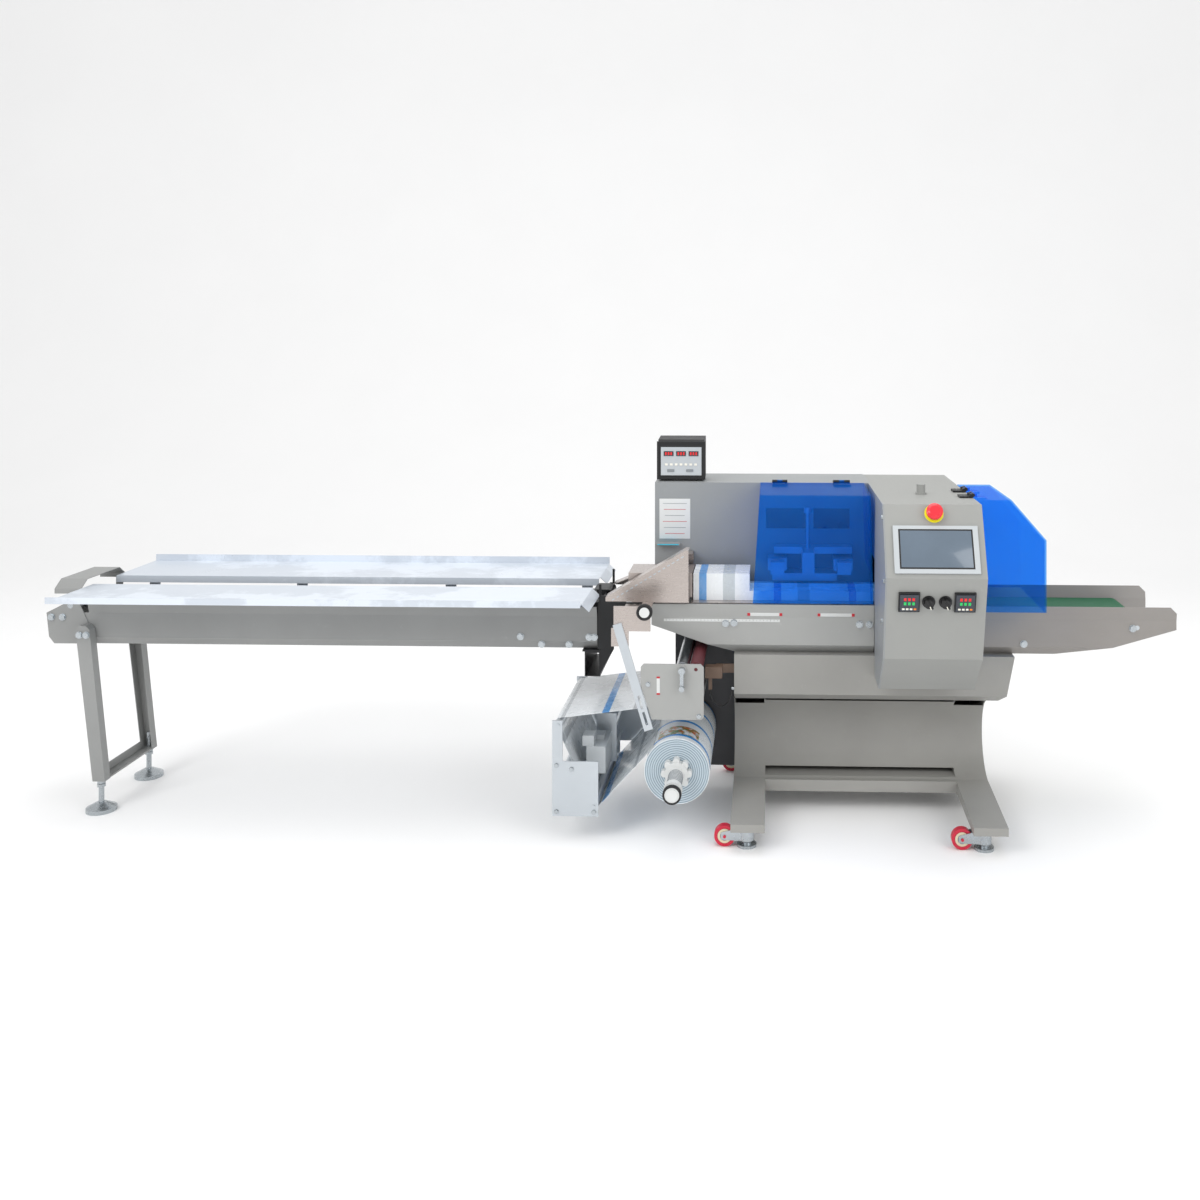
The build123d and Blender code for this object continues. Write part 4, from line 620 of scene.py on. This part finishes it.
# pale floor that curves up into the backdrop
backdrop = {"wide": 40, "deep": 22, "near": 9, "bendFrom": 4, "bendTo": 8, "radius": 3,
            "slope": 1.5}
bpy.ops.mesh.primitive_grid_add(x_subdivisions=2, y_subdivisions=60, size=1, location=(0, 0, 0))
floor = bpy.context.object
floor.name = "studio_floor"
bendFrom, bendTo = backdrop["bendFrom"], backdrop["bendTo"]
for v in floor.data.vertices:
    run = (v.co.y + 0.5) * backdrop["deep"] - backdrop["near"]
    bend = max(0.0, min(1.0, (run - bendFrom) / (bendTo - bendFrom))) * math.pi / 2
    if run < bendFrom:
        v.co = (v.co.x * backdrop["wide"], run, 0)
    else:
        v.co = (v.co.x * backdrop["wide"], bendFrom + backdrop["radius"] * math.sin(bend),
                backdrop["radius"] * (1 - math.cos(bend))
                + max(0.0, run - bendTo) * backdrop["slope"])
s = Shader("studioWhite")
s.put(s.main.inputs["Base Color"], s.mix(s.noise(1.2), linear("#f6f6f6"), linear("#fafafa")))
s.put(s.main.inputs["Roughness"], 0.9)
floor.data.materials.append(s.material)
bpy.ops.object.shade_smooth()

world = bpy.data.worlds.new("studioWorld")
world.use_nodes = True
world.node_tree.nodes["Background"].inputs[0].default_value = (1, 1, 1, 1)
world.node_tree.nodes["Background"].inputs[1].default_value = 0.82
bpy.context.scene.world = world
bpy.context.scene.view_settings.view_transform = "Standard"

# each lamp's place, power and width, all aimed at the middle of the machine
lamps = {
    "keyLight": ((-3.2, -4.2, 4.6), 150, 3.2),
    "fillLight": ((4.0, -3.6, 3.0), 70, 3.0),
    "topLight": ((0.3, 0.3, 4.4), 70, 3.6),
}
lampAim = Vector((0, 0, 0.6))
for name, (spot, power, size) in lamps.items():
    lamp = bpy.data.lights.new(name, "AREA")
    lamp.energy = power
    lamp.size = size
    holder = bpy.data.objects.new(name, lamp)
    holder.location = spot
    holder.rotation_euler = (lampAim - Vector(spot)).to_track_quat("-Z", "Y").to_euler()
    bpy.context.scene.collection.objects.link(holder)

view = bpy.data.cameras.new("photoView")
view.lens = 36
view.sensor_width = 36
view.shift_x = -0.107
view.shift_y = -0.225
camera = bpy.data.objects.new("photoView", view)
camera.location = (0.586, -4.1867, 1.684)
camera.rotation_euler = (math.pi / 2, 0, math.radians(2))
bpy.context.scene.collection.objects.link(camera)
bpy.context.scene.camera = camera
print("stage made")
